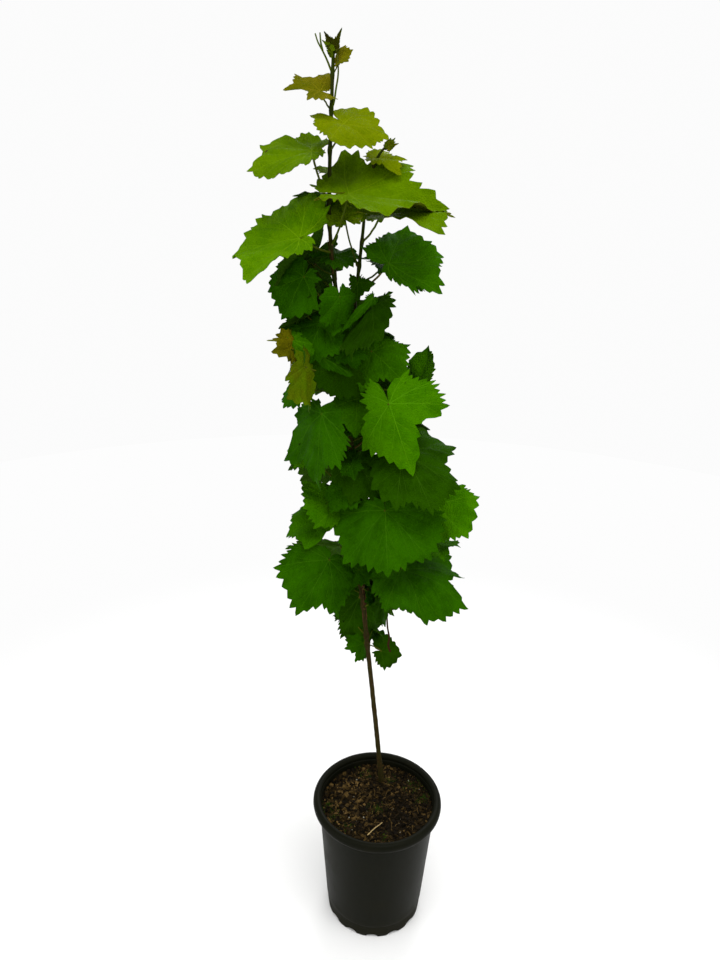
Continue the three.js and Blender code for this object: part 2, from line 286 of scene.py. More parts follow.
def makePiece(name, heap, materials, replaced=(), sharpAngle=50):
    mesh = bpy.data.meshes.new(name)
    points = np.concatenate(heap["points"])
    sizes = np.concatenate([np.full(len(rows), rows.shape[1], int) for rows in heap["faces"]])
    corners = np.concatenate([rows.ravel() for rows in heap["faces"]])
    mesh.vertices.add(len(points))
    mesh.vertices.foreach_set("co", points.ravel())
    mesh.loops.add(len(corners))
    mesh.loops.foreach_set("vertex_index", corners)
    mesh.polygons.add(len(sizes))
    mesh.polygons.foreach_set("loop_start", np.cumsum(sizes) - sizes)
    paints = np.concatenate(heap["paints"])
    used, paints = np.unique(paints, return_inverse=True)
    mesh.polygons.foreach_set("material_index", paints.ravel())
    mesh.update(calc_edges=True)
    mesh.validate()
    mesh.polygons.foreach_set("use_smooth", np.ones(len(mesh.polygons), bool))
    mesh.set_sharp_from_angle(angle=math.radians(sharpAngle))
    for paint in used:
        mesh.materials.append(materials[paint])
    piece = bpy.data.objects.new(name, mesh)
    bpy.context.scene.collection.objects.link(piece)
    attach(piece, "root")
    if replaced:
        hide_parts(*replaced)
    print(f"{name}: {int((sizes - 2).sum())} triangles")
    return piece


def unit(vector):
    return vector / max(np.linalg.norm(vector), 1e-12)


def bend(start, middle, end, count):
    # A bow from start to end that leans towards middle
    return np.array([(1 - t) ** 2 * start + 2 * t * (1 - t) * middle + t * t * end
                     for t in np.linspace(0, 1, count)])


def smoothPath(points, count):
    # Catmull-Rom through the points, then even steps along it
    points = np.asarray(points, float)
    ends = np.concatenate([[2 * points[0] - points[1]], points, [2 * points[-1] - points[-2]]])
    dense = []
    for i in range(len(points) - 1):
        a, b, c, d = ends[i:i + 4]
        for t in np.linspace(0, 1, 12, endpoint=False):
            dense.append(0.5 * (2 * b + (c - a) * t + (2 * a - 5 * b + 4 * c - d) * t ** 2
                                + (3 * b - a - 3 * c + d) * t ** 3))
    dense = np.array(dense + [points[-1]])
    length = np.concatenate([[0], np.cumsum(np.linalg.norm(np.diff(dense, axis=0), axis=1))])
    steps = np.linspace(0, length[-1], count)
    return np.stack([np.interp(steps, length, dense[:, k]) for k in range(3)], 1)


def pathFrames(path):
    # Two directions across the path at each point, carried along without twist
    along = np.gradient(path, axis=0)
    along /= np.linalg.norm(along, axis=1)[:, None]
    helper = (0.31, 0.2, 0.93) if abs(along[0][2]) < 0.9 else (1, 0, 0)      # never along the path's start
    across = unit(np.cross(along[0], helper))
    sides, ups = [], []
    for tangent in along:
        across = unit(across - tangent * across.dot(tangent))
        sides.append(across)
        ups.append(np.cross(tangent, across))
    return np.array(sides), np.array(ups)


def tube(path, radii, sides, relief=None):
    # A closed round limb. relief(step, angles) gives each ring's factor on its radius.
    path = np.asarray(path, float)
    radii = np.broadcast_to(radii, (len(path),))
    across, up = pathFrames(path)
    angles = np.linspace(0, 2 * math.pi, sides, endpoint=False)
    points = []
    for i in range(len(path)):
        factor = relief(i, angles) if relief else 1.0
        reach = (radii[i] * factor * np.ones(sides))[:, None]
        outward = np.cos(angles)[:, None] * across[i] + np.sin(angles)[:, None] * up[i]
        points.append(path[i] + reach * outward)
    faces = []
    for i in range(len(path) - 1):
        for j in range(sides):
            k = (j + 1) % sides
            faces.append((i * sides + j, i * sides + k, (i + 1) * sides + k, (i + 1) * sides + j))
    last = len(path) * sides
    for j in range(sides):
        k = (j + 1) % sides
        faces.append((last, k, j))
        faces.append((last + 1, last - sides + j, last - sides + k))
    return np.concatenate(points + [path[:1], path[-1:]]), faces


def lathe(profile, sides, shape=None):
    # A closed ring turned about Z. shape(radius, height, angle) may move a point up or down.
    points, faces = [], []
    for j in range(sides):
        angle = 2 * math.pi * j / sides
        for radius, height in profile:
            lifted = shape(radius, height, angle) if shape else height
            points.append((radius * math.cos(angle), radius * math.sin(angle), lifted))
    size = len(profile)
    for j in range(sides):
        k = (j + 1) % sides
        for i in range(size):
            n = (i + 1) % size
            faces.append((j * size + i, k * size + i, k * size + n, j * size + n))
    return np.array(points), faces


camera = {
    "place": (0.0, -0.8702, 1.0447),
    "pitch": 20.37,      # degrees below the horizon
    "yaw": -2.52,
    "roll": 1.39,
    "lens": 27.04,
    "sensor": 36.0,
    "farEnd": 200,       # metres
}


def makeCamera():
    pitch, yaw, roll = (math.radians(camera[key]) for key in ("pitch", "yaw", "roll"))
    ahead = Vector((math.sin(yaw) * math.cos(pitch), math.cos(yaw) * math.cos(pitch), -math.sin(pitch)))
    level = Vector((math.cos(yaw), -math.sin(yaw), 0))
    rise = level.cross(ahead)
    right = math.cos(roll) * level + math.sin(roll) * rise
    above = math.cos(roll) * rise - math.sin(roll) * level
    data = bpy.data.cameras.new("camera")
    data.lens = camera["lens"]
    data.sensor_width = camera["sensor"]
    data.clip_end = camera["farEnd"]
    eye = bpy.data.objects.new("camera", data)
    bpy.context.scene.collection.objects.link(eye)
    columns = (right, above, -ahead, Vector(camera["place"]))
    for column, vector in enumerate(columns):
        for row in range(3):
            eye.matrix_world[row][column] = vector[row]
    bpy.context.scene.camera = eye


studio = {
    "lights": [          # name, place, size, power, aimed at this height
        ("top", (0.3, -0.8, 2.9), 1.8, 36.0, 0.7),
        ("left", (-2.2, -1.3, 1.5), 1.4, 17.0, 0.6),
        ("right", (2.3, -1.0, 1.3), 1.4, 12.0, 0.6),
        ("rear", (0.3, 2.4, 2.0), 1.6, 26.0, 0.7),
    ],
    "sky": (1.0, 1.0, 1.0, 1),
    "skyLight": 0.78,
    "backdrop": 0.97,
    "floor": colour(244, 244, 243),
    "floorRings": (0.3, 0.8, 1.5, 2.6),       # metres
    "floorSides": 48,
    "floorFade": (0.35, 1.25),     # metres from the pot: from lit paper to the backdrop's own white
}


def makeLights():
    for name, spot, size, power, height in studio["lights"]:
        data = bpy.data.lights.new(name + "_light", "AREA")
        data.shape = "DISK"
        data.size = size
        data.energy = power
        lamp = bpy.data.objects.new(name + "_light", data)
        lamp.location = spot
        aim = Vector((0, 0, height)) - Vector(spot)
        lamp.rotation_euler = aim.to_track_quat("-Z", "Y").to_euler()
        bpy.context.scene.collection.objects.link(lamp)


def makeBackdrop():
    # Soft light from all sides, and a plain bright backdrop for the camera alone
    world = bpy.data.worlds.new("studio")
    world.use_nodes = True
    tree = world.node_tree
    soft = tree.nodes["Background"]
    soft.inputs["Color"].default_value = studio["sky"]
    soft.inputs["Strength"].default_value = studio["skyLight"]
    seen = addNode(tree, "Background", None, Color=studio["sky"], Strength=studio["backdrop"])
    rays = addNode(tree, "LightPath")
    both = addNode(tree, "MixShader", None, in0=rays.outputs["Is Camera Ray"],
                   in1=soft.outputs[0], in2=seen.outputs[0])
    tree.links.new(both.outputs[0], tree.nodes["World Output"].inputs["Surface"])
    bpy.context.scene.world = world
    bpy.context.scene.view_settings.view_transform = "Standard"


def makeFloor():
    points = [(0, 0, 0)]
    faces = []
    sides = studio["floorSides"]
    for radius in studio["floorRings"]:
        points += [(radius * math.cos(2 * math.pi * j / sides), radius * math.sin(2 * math.pi * j / sides), 0)
                   for j in range(sides)]
    for j in range(sides):
        k = (j + 1) % sides
        faces.append((0, 1 + j, 1 + k))
        for i in range(len(studio["floorRings"]) - 1):
            inner, outer = 1 + i * sides, 1 + (i + 1) * sides
            faces.append((inner + j, outer + j, outer + k, inner + k))
    mesh = bpy.data.meshes.new("floor")
    mesh.from_pydata(points, [], faces)
    material, tree, shader = newMaterial("floor_paper", studio["floor"], 0.1, 0.9)
    away = addNode(tree, "VectorMath", {"operation": "LENGTH"}, in0=place(tree))
    fade = spread(tree, away.outputs["Value"], *studio["floorFade"])
    grain = arithmetic(tree, "MULTIPLY", noiseAt(tree, place(tree), 3.0), 0.04)
    paper = mixColour(tree, grain, studio["floor"], colour(255, 255, 255))
    backdrop = (studio["backdrop"],) * 3 + (1.0,)
    tree.links.new(mixColour(tree, fade, paper, (0, 0, 0, 1)), shader.inputs["Base Color"])
    tree.links.new(mixColour(tree, fade, (0, 0, 0, 1), backdrop), shader.inputs["Emission Color"])
    shader.inputs["Emission Strength"].default_value = 1.0
    mesh.materials.append(material)
    floor = bpy.data.objects.new("floor", mesh)
    bpy.context.scene.collection.objects.link(floor)


makeCamera()
makeLights()
makeBackdrop()
makeFloor()
print("camera and studio set")


pot = {                  # millimetres
    "sides": 192,
    "height": 207.0,
    "foot": 74.0,        # radii
    "neck": 88.5,
    "lip": 98.0,
    "mouth": 86.0,
    "wall": 2.0,
    "stepHeight": 22.0,
    "stepDepth": 1.5,
    "lipDrop": 12,
    "arches": 14,
    "archWidth": 9.0,
    "archHeight": 5.0,
    "plastic": colour(15, 16, 8),
    "dust": colour(74, 67, 44),
}


def potProfile():
    # Radii and heights of the wall, from the foot up outside, over the lip and down inside
    neck = pot["height"] - pot["lipDrop"]
    foot, waist, lip, mouth = pot["foot"], pot["neck"], pot["lip"], pot["mouth"]

    def inside(z):
        start = foot + pot["stepDepth"]
        return start + (waist - start) * (z - pot["stepHeight"]) / (neck - pot["stepHeight"]) - pot["wall"]

    outer = [(foot - 2.2, 0.0), (foot - 0.8, 0.4), (foot - 0.3, 1.6), (foot, 9.0), (foot, 20.4),
             (foot + 0.3, 21.6), (foot + 1.3, 22.6), (foot + 1.6, 23.8)]
    climb = [(inside(z) + pot["wall"], z) for z in np.linspace(30, neck - 9, 12)]
    rim = [(waist - 0.3, -4.0), (waist + 0.3, -1.6), (waist + 1.6, -0.9), (lip - 3.0, -0.6), (lip - 1.4, 0.2),
           (lip - 0.4, 1.8), (lip, 4.0), (lip - 0.2, 6.4), (lip - 1.0, 8.8), (lip - 2.6, 10.8),
           (lip - 4.8, 11.8), (lip - 7.0, 12.0), (mouth + 3.4, 11.6), (mouth + 1.6, 10.4), (mouth + 0.5, 8.4),
           (mouth + 0.2, 5.6), (mouth + 1.0, 4.4), (mouth + 1.0, 3.4), (mouth - 0.2, 2.4),
           (mouth - 0.6, -1.0)]
    inner = [(inside(z) - 0.2, z) for z in np.linspace(neck - 8, 14, 8)]
    floor = [(foot - 6, 10.5), (20.0, 10.0), (1.0, 10.0), (1.0, 8.6), (20.0, 8.6), (foot - 7.0, 8.8),
             (foot - 4.4, 7.6), (foot - 3.6, 2.0), (foot - 3.2, 0.5)]
    profile = outer + climb + [(radius, neck + height) for radius, height in rim] + inner + floor
    return [(radius * mm, height * mm) for radius, height in profile]


def footArches(radius, height, angle):
    # The foot ring rises into low drainage arches
    if height > (pot["stepHeight"] - 1) * mm or radius < (pot["foot"] - 8) * mm:
        return height
    step = 2 * math.pi / pot["arches"]
    across = abs(angle % step - step / 2) * radius / (pot["archWidth"] * mm)
    if across >= 1:
        return height
    arch = pot["archHeight"] * mm * math.sqrt(1 - across ** 2)
    return max(height, arch + height * 0.35)


def makePot():
    material, tree, shader = newMaterial("black_plastic", pot["plastic"], 0.035, 0.45)
    cover = placeGroup(tree, dust, Plastic=pot["plastic"], Dust=pot["dust"], Amount=0.12,
                       Low_Edge=0.045, Roughness=0.42)
    tree.links.new(cover.outputs["Colour"], shader.inputs["Base Color"])
    tree.links.new(cover.outputs["Roughness"], shader.inputs["Roughness"])
    addBump(tree, shader, cover.outputs["Height"], 0.00012, 0.6)
    heap = newHeap()
    points, faces = lathe(potProfile(), pot["sides"], footArches)
    addPart(heap, points, faces)
    makePiece("nursery_pot", heap, [material], ["pot"], 40)


makePot()


soil = {                 # millimetres
    "radius": 86.0,
    "top": 187.5,
    "depth": 18,
    "rings": 56,
    "sides": 150,
    "mound": (6, 46, 500, 3.0),            # place, spread and height of what is heaped up round the stem
    "shadedHollow": (32, -22, 34),             # place and size of the hollow; the chips in it take the darkest bark colour as painted shade
    "coarsePlace": (-58, 26, 1300),        # place and spread of the coarser bark
    "bark": 1500,
    "barkSize": (3.5, 8.5),
    "barkShades": ((5, 2, 0.4, 6), (0, 2.5, 3.5, 0)),      # shares of the four colours, and more where coarse
    "crumbs": 1900,
    "crumbSize": (1.4, 3.4),
    "crumbShades": ((6, 1.8, 0.4, 7), (0, 0, 0, 0)),
    "lift": 0.3,
    "tilt": 0.5,
    "fibres": 190,
    "fibreReach": (4, 17),
    "fibreWidth": (0.14, 0.42),
    "perlite": 26,
    "perliteSize": (0.9, 2.4),
    "moss": [(-72, -8, 15, 380), (-60, -26, 12, 260), (0, -8, 13, 260), (13, -60, 9, 90), (58, 42, 15, 260),
             (70, 18, 12, 200), (-20, 62, 14, 150), (20, 52, 12, 120), (-45, -48, 10, 120)],
    "mossHeight": (0.9, 2.4),              # the patches above: place, size and number of places with tufts
    "mossWidth": (0.3, 0.55),
    "twig": [(9, -36, 190.5), (5, -43, 192.5), (-2, -50, 192.5), (-12, -62, 191.0)],
    "earth": colour(20, 16, 6),
    "wetEarth": colour(10, 8, 4),
    "barks": [colour(34, 25, 10), colour(60, 46, 19), colour(104, 82, 44), colour(12, 9, 4)],
    "mossColours": [colour(44, 74, 6), colour(76, 98, 16)],
    "perliteColour": colour(158, 154, 138),
    "straw": colour(196, 170, 112),
}


def nearness(x, y, spot, width):
    # 1 at the spot, and less with distance
    return math.exp(-((x - spot[0]) ** 2 + (y - spot[1]) ** 2) / width)


def soilHeight(x, y):
    # x and y in millimetres
    mound = soil["mound"][3] * nearness(x, y, soil["mound"], soil["mound"][2])
    hollow = 4.0 * nearness(x, y, soil["shadedHollow"], soil["shadedHollow"][2] ** 2)
    lumps = 3.2 * noise.fractal(Vector((x * 0.06, y * 0.06, 3.1)), 0.9, 2.1, 5)
    edge = 2.0 * max(0.0, math.hypot(x, y) / soil["radius"] - 0.86) / 0.14
    return soil["top"] + mound - hollow + lumps + edge


def makeSurface():
    earth, tree, shader, _ = mottledMaterial(
        "moist_earth", soil["earth"], soil["wetEarth"], soil["barks"][1], 0.06, 0.85,
        Patches=0.8, Flecks=0.5, Patch_Scale=28.0, Fleck_Scale=520.0)
    addBump(tree, shader, noiseAt(tree, place(tree), 700.0, 5.0), 0.0012)
    sides, rings = soil["sides"], soil["rings"]
    points = [(0, 0, soilHeight(0, 0) * mm)]
    for i in range(1, rings + 1):
        for j in range(sides):
            angle = 2 * math.pi * (j + 0.5 * (i % 2)) / sides
            x = soil["radius"] * i / rings * math.cos(angle)
            y = soil["radius"] * i / rings * math.sin(angle)
            points.append((x * mm, y * mm, soilHeight(x, y) * mm))
    skirt = len(points)
    underside = (soil["top"] - soil["depth"]) * mm
    points += [(x * 0.985, y * 0.985, underside) for x, y, _ in points[skirt - sides:]]
    points.append((0, 0, underside))
    faces = [(0, 1 + j, 1 + (j + 1) % sides) for j in range(sides)]
    for i in range(rings):
        for j in range(sides):
            k = (j + 1) % sides
            inner, outer = 1 + i * sides, 1 + (i + 1) * sides
            faces.append((inner + j, outer + j, outer + k, inner + k))
    faces += [(len(points) - 1, skirt + (j + 1) % sides, skirt + j) for j in range(sides)]
    heap = newHeap()
    addPart(heap, points, faces)
    makePiece("potting_surface", heap, [earth], ["potting_mix"], 180)


def anyPlace(rng, share=0.98):
    angle = rng.uniform(0, 2 * math.pi)
    radius = soil["radius"] * share * math.sqrt(rng.random())
    return radius * math.cos(angle), radius * math.sin(angle)


def keepInside(x, y, reach):
    # Moves a place that is too near the wall back to the reach
    radius = math.hypot(x, y)
    return (x * reach / radius, y * reach / radius) if radius > reach else (x, y)


def chip(rng, size, flat, thin):
    # An uneven sliver: a bent box of eight corners, each pulled about
    corners = np.array([(x, y, z) for z in (-1, 1) for y in (-1, 1) for x in (-1, 1)], float)
    corners *= np.array((size, size * thin, size * flat)) / 2
    corners *= 1 + np.array([[rng.uniform(-0.45, 0.2) for _ in range(3)] for _ in range(8)])
    corners[:, 2] -= rng.uniform(0, 0.25) * corners[:, 0] ** 2 / size
    return corners, [(0, 2, 3, 1), (4, 5, 7, 6), (0, 1, 5, 4), (2, 6, 7, 3), (0, 4, 6, 2), (1, 3, 7, 5)]


def scatterChips(rng, count, sizes, flat, thin, shades):
    heap = newHeap()
    hollowShadeBark = len(soil["barks"]) - 1
    for _ in range(count):
        x, y = anyPlace(rng)
        coarse = nearness(x, y, soil["coarsePlace"], soil["coarsePlace"][2])
        size = rng.uniform(*sizes) * (1 + 0.7 * coarse * rng.random())
        corners, faces = chip(rng, size, rng.uniform(*flat), rng.uniform(*thin))
        turn = Euler((rng.gauss(0, soil["tilt"]), rng.gauss(0, soil["tilt"]), rng.uniform(0, fullTurn)))
        corners = corners @ np.array(turn.to_matrix()).T
        x, y = keepInside(x, y, soil["radius"] - 1 - size / 2)
        corners += (x, y, soilHeight(x, y) + soil["lift"] * size * rng.uniform(0.1, 0.6))
        # Chips in the hollow take the darkest bark colour: painted shade
        hollowShade = nearness(x, y, soil["shadedHollow"], (soil["shadedHollow"][2] * 1.1) ** 2)
        weights = [usual + more * coarse for usual, more in zip(*shades)]
        paint = hollowShadeBark if rng.random() < hollowShade else rng.choices(range(len(weights)), weights)[0]
        addPart(heap, corners * mm, faces, paint)
    return heap


def barkMaterials():
    result = []
    for i, shade in enumerate(soil["barks"]):
        following = soil["barks"][(i + 1) % len(soil["barks"])]
        material, tree, shader, _ = mottledMaterial(
            f"bark_chip_{i + 1}", shade, following, soil["earth"], 0.06, 0.8,
            Patches=0.7, Flecks=0.5, Patch_Scale=160.0, Fleck_Scale=700.0)
        addFibres(tree, shader, 500.0, 900.0, 0.0006)
        result.append(material)
    return result


def soilFibres(rng):
    heap = newHeap()
    for _ in range(soil["fibres"]):
        x, y = anyPlace(rng, 0.9)
        heading = rng.uniform(0, fullTurn)
        reach = rng.uniform(*soil["fibreReach"])
        arch = rng.uniform(0.5, 2.5)
        route = []
        for t in np.linspace(-0.5, 0.5, 5):
            px = x + reach * t * math.cos(heading) + rng.gauss(0, 0.4)
            py = y + reach * t * math.sin(heading) + rng.gauss(0, 0.4)
            route.append((px, py, soilHeight(px, py) + 0.6 + arch * (1 - 4 * t * t)))
        points, faces = tube(smoothPath(np.array(route) * mm, 7), rng.uniform(*soil["fibreWidth"]) * mm, 5)
        addPart(heap, points, faces, rng.choice((1, 2, 2, 0)))
    return heap


def perliteGrains(rng):
    heap = newHeap()
    for _ in range(soil["perlite"]):
        x, y = anyPlace(rng)
        corners, faces = chip(rng, rng.uniform(*soil["perliteSize"]), 0.8, 0.9)
        addPart(heap, (corners + (x, y, soilHeight(x, y) + 0.7)) * mm, faces)
    return heap


def mossTufts(rng):
    heap = newHeap()
    for x0, y0, size, count in soil["moss"]:
        for _ in range(count):
            x, y = x0 + rng.gauss(0, size * 0.45), y0 + rng.gauss(0, size * 0.45)
            x, y = keepInside(x, y, soil["radius"] - 2)
            ground = soilHeight(x, y)
            for _ in range(3):       # a tuft of short pointed shoots
                lean = rng.uniform(0, fullTurn)
                tall = rng.uniform(*soil["mossHeight"])
                foot = np.array((x + rng.gauss(0, 0.7), y + rng.gauss(0, 0.7), ground - 0.3))
                tip = foot + (tall * 0.6 * math.cos(lean), tall * 0.6 * math.sin(lean), tall + 0.4)
                wide = rng.uniform(*soil["mossWidth"])
                side = np.array((-math.sin(lean), math.cos(lean), 0)) * wide
                out = np.array((math.cos(lean), math.sin(lean), 0.4)) * wide
                points = [foot + side, foot - side, foot + out, tip]
                addPart(heap, np.array(points) * mm, [(0, 1, 3), (1, 2, 3), (2, 0, 3), (0, 2, 1)],
                        rng.choice((0, 0, 1)))
    return heap


def makeSoil():
    makeSurface()
    rng = random.Random(11)
    bark = scatterChips(rng, soil["bark"], soil["barkSize"], (0.14, 0.35), (0.3, 0.8), soil["barkShades"])
    crumbs = scatterChips(rng, soil["crumbs"], soil["crumbSize"], (0.5, 0.9), (0.6, 1.0), soil["crumbShades"])
    barks = barkMaterials()
    makePiece("bark_chips", bark, barks, (), 25)
    makePiece("soil_crumbs", crumbs, barks, (), 25)
    makePiece("soil_fibres", soilFibres(rng), barks)

    grain, tree, shader = newMaterial("perlite", soil["perliteColour"], 0.3, 0.8)
    addBump(tree, shader, noiseAt(tree, place(tree), 2500.0), 0.0003)
    makePiece("perlite_grains", perliteGrains(rng), [grain], (), 20)

    greens = [mottledMaterial(f"moss_{i + 1}", shade, soil["earth"], shade, 0.15, 0.9,
                              Patches=0.5, Flecks=0.0, Patch_Scale=90.0)[0]
              for i, shade in enumerate(soil["mossColours"])]
    makePiece("moss_tufts", mossTufts(rng), greens, (), 60)

    straw = streakedMaterial("dry_straw", soil["straw"], soil["barks"][2], 0.3, 0.6, 1400.0)
    heap = newHeap()
    route = smoothPath(np.array(soil["twig"]) * mm, 26)
    points, faces = tube(route, np.linspace(0.55, 0.85, 26) * mm, 8)
    addPart(heap, points, faces)
    makePiece("straw_twig", heap, [straw])


makeSoil()


shoots = {
    "sides": 28,
    "ring": 2.6,            # millimetres between rings
    "tops": {"stem": 1208, "side": 1114},       # where each shoot ends among its tip leaves, in millimetres
    "phases": {"stem": 1.3, "side": 4.0},
    "swell": 0.34,          # how far a node stands out
    "swellReach": 4.6,
    "ridge": 0.075,
    "ridgeFade": (900, 350, 0.12),              # no more full ridges above, over this length, to this share
    "strings": 34,
    "stringHeights": [(500, 575, 0.6), (925, 990, 0.4)],       # from and to, and the share of the strings
    "stringLength": (9, 34),
    "stringLift": (0.3, 2.2),
    "stringWidth": (0.35, 0.9),
    "bark": colour(50, 38, 19),
    "barkPatch": colour(36, 26, 13),
    "barkString": colour(92, 60, 32),
    "olive": colour(42, 46, 17),
    "green": colour(38, 50, 4),
    "greenPatch": colour(46, 42, 14),
    "greenFrom": (0.62, 0.98),      # metres: bark below, green shoot above
}


def shootLine(node, foot=None):
    # The middle line and radii of a packed shoot, read from the rings of its mesh
    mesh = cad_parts[node].data
    points = np.unique(np.array([vertex.co for vertex in mesh.vertices]).round(6), axis=0)
    points = points[np.argsort(points[:, 2])]
    breaks = np.where(np.diff(points[:, 2]) > 3 * mm)[0] + 1
    rings = [ring for ring in np.split(points, breaks) if len(ring) > 4]
    middles = [ring.mean(0) for ring in rings]
    radii = [np.linalg.norm(ring - middle, axis=1).mean() for ring, middle in zip(rings, middles)]
    if foot is not None:
        middles[0], radii[0] = foot, radii[1]
    steps = 360
    share = np.linspace(0, 1, len(middles))
    return smoothPath(middles, steps), np.interp(np.linspace(0, 1, steps), share, radii)


def pointOn(line, height):
    return np.array([np.interp(height, line[:, 2], line[:, axis]) for axis in range(3)])


stemLine, stemRadii = shootLine("stem")
sideLine, sideRadii = shootLine("side_shoot", pointOn(stemLine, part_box("side_shoot")[0][2] - 0.004))
lines = {"stem": stemLine, "side": sideLine}

# Leaves in millimetres and degrees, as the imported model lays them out: the shoot, the height of the node
# on it, the stalk's bearing, reach and rise, the bearing of the blade's tip, its dip and roll, the blade's
# length, and, if it has one, the fold along its midrib
leafRows = {
    "low_leaf": [
        ("stem", 465, 33, 24, -18, 13, 19, 63, 31, -0.25),
        ("stem", 480, 105, 13, -20, 230, 66, -77, 28, -0.17), ("stem", 550, 108, 14, -14, 204, 73, -90, 69),
        ("stem", 560, 320, 34, -8, 333, 61, -7, 32), ("stem", 580, 319, 73, 36, 294, 12, -8, 80, 0.11),
        ("stem", 600, 231, 60, 24, 250, 30, -50, 74, 0.05),
        ("stem", 620, 347, 102, 25, 338, -10, 3, 31, -0.15), ("stem", 635, 195, 45, 33, 204, 9, -11, 49),
        ("stem", 655, 299, 79, 51, 274, 41, 15, 75, -0.39),
        ("stem", 665, 225, 29, 29, 219, -8, -35, 48, -0.27),
        ("stem", 670, 350, 106, 27, 1, -19, 33, 50, -0.11),
    ],
    "middle_leaf": [
        ("stem", 700, 165, 72, 60, 200, 60, -21, 36), ("stem", 715, 285, 24, 35, 250, 55, 4, 48, -0.1),
        ("stem", 725, 322, 80, 49, 300, 29, 19, 74, -0.22), ("stem", 770, 190, 45, 20, 220, 70, 20, 35),
        ("stem", 790, 236, 55, 29, 259, 63, 34, 83, -0.11),
        ("stem", 805, 306, 86, 35, 333, 67, 60, 81, -0.3),
        ("stem", 815, 294, 30, 19, 274, 48, -7, 43, 0.05),
        ("stem", 845, 263, 38, 33, 10, 106, -82, 36, -0.14),
        ("stem", 835, 12, 93, 6, 83, -67, -49, 49, 0.09), ("stem", 860, 335, 37, 30, 313, 23, 35, 58),
        ("stem", 890, 209, 26, 32, 247, 36, -7, 55),
    ],
    "upper_leaf": [
        ("side", 925, 300, 52, 22, 243, 37, 27, 70, -0.08), ("side", 940, 257, 60, 16, 320, 86, 6, 31),
        ("stem", 935, 207, 43, 39, 219, 53, -28, 50, -0.04),
        ("side", 950, 280, 18, 18, 272, 58, 19, 21, 0.3),
        ("side", 955, 326, 46, 36, 23, -11, 40, 65, -0.04), ("stem", 975, 122, 8, 21, 20, -3, 24, 34),
        ("stem", 1000, 227, 48, 16, 170, 8, -36, 83, 0.25),
        ("side", 985, 190, 18, 53, 119, -32, -15, 41, 0.35),
        ("side", 1012, 301, 43, 30, 357, -5, 15, 73, 0.25),
        ("stem", 1008, 305, 38, 55, 358, -1, 23, 99, 0.22),
    ],
    "top_leaf": [
        ("stem", 1070, 92, 15, 16, 126, -26, 3, 20, 0.05),
        ("stem", 1055, 204, 21, 51, 194, 13, -22, 70, 0.08),
        ("stem", 1108, 319, 21, 25, 323, 25, 21, 42, 0.18),
    ],
    "young_leaf": [
        ("side", 1093, 0, 2, 9, 5, -1, 24, 31, 0.08), ("stem", 1148, 180, 12, 18, 190, -7, -32, 36, 0.19),
        ("stem", 1182, 354, 7, 13, 335, -33, 53, 16, 0.19),
        ("stem", 875, 216, 72, 19, 209, -35, -47, 24, -0.06), ("stem", 858, 236, 75, 20, 333, 69, -8, 47),
        ("stem", 835, 215, 69, 14, 208, 49, -9, 26),
    ],
    "back_leaf": [
        ("stem", 530, 77, 30, 26, 66, 78, 17, 65), ("stem", 590, 133, 44, 17, 110, 30, 22, 85, -0.12),
        ("stem", 625, 50, 55, 31, 52, 55, -9, 83), ("stem", 675, 99, 60, 35, 94, 33, 4, 92, 0.06),
        ("stem", 735, 130, 45, 34, 126, 57, 2, 78, -0.09), ("stem", 760, 45, 60, 35, 47, 40, -5, 85, 0.06),
        ("stem", 810, 94, 55, 34, 84, 36, 4, 86), ("stem", 830, 152, 50, 28, 155, 45, 0, 60),
        ("stem", 880, 51, 50, 26, 34, 44, 1, 74), ("stem", 915, 110, 46, 13, 117, 50, 1, 77, 0.04),
        ("stem", 955, 148, 37, 32, 168, 62, 26, 68), ("side", 965, 20, 39, 25, 17, 14, 11, 58, -0.06),
        ("stem", 1030, 81, 40, 30, 102, 12, -4, 70, 0.1),
    ],
}


def shootMaterial():
    material, tree, shader = newMaterial("vine_bark", shoots["bark"], 0.02, 0.8)
    height = addNode(tree, "SeparateXYZ", None, Vector=place(tree)).outputs[2]
    bark = placeGroup(tree, mottle, Colour=shoots["bark"], Patch_Colour=shoots["barkPatch"],
                      Fleck_Colour=shoots["barkString"], Patches=0.8, Flecks=0.6,
                      Patch_Scale=60.0, Fleck_Scale=500.0)
    skin = placeGroup(tree, mottle, Colour=shoots["green"], Patch_Colour=shoots["greenPatch"],
                      Fleck_Colour=shoots["olive"], Patches=0.5, Flecks=0.4,
                      Patch_Scale=45.0, Fleck_Scale=600.0)
    streaks = placeGroup(tree, fibre, Across=1500.0, Along=60.0)
    wood = mixColour(tree, streaks.outputs["Mask"], bark.outputs["Colour"], shoots["olive"])
    upward = spread(tree, height, *shoots["greenFrom"])
    tree.links.new(mixColour(tree, upward, wood, skin.outputs["Colour"]), shader.inputs["Base Color"])
    tree.links.new(spread(tree, height, *shoots["greenFrom"], 0.8, 0.5), shader.inputs["Roughness"])
    addBump(tree, shader, streaks.outputs["Height"], 0.0005)
    return material


def barkRelief(line, heights, phase):
    # Ridges and lumps that fade upwards, and a swelling at the height of each node
    ridgeTop, ridgeFade, leastRidge = shoots["ridgeFade"]

    def factor(step, angles):
        z = line[step][2] / mm
        woody = min(1.0, max(leastRidge, (ridgeTop - z) / ridgeFade))
        node = max((math.exp(-((z - h) / shoots["swellReach"]) ** 2) for h in heights), default=0)
        twist = phase + z * 0.011
        ridges = np.sin(5 * angles + twist) + 0.6 * np.sin(9 * angles - 1.7 * twist + 1)
        rough = [noise.noise(Vector((math.cos(angle) * 2.2, math.sin(angle) * 2.2, z * 0.12 + phase)))
                 for angle in angles]
        bumps = shoots["ridge"] * woody * (ridges * 0.6 + 1.6 * np.array(rough))
        return 1 + bumps + shoots["swell"] * node * (1 + 0.35 * np.cos(angles - phase))
    return factor


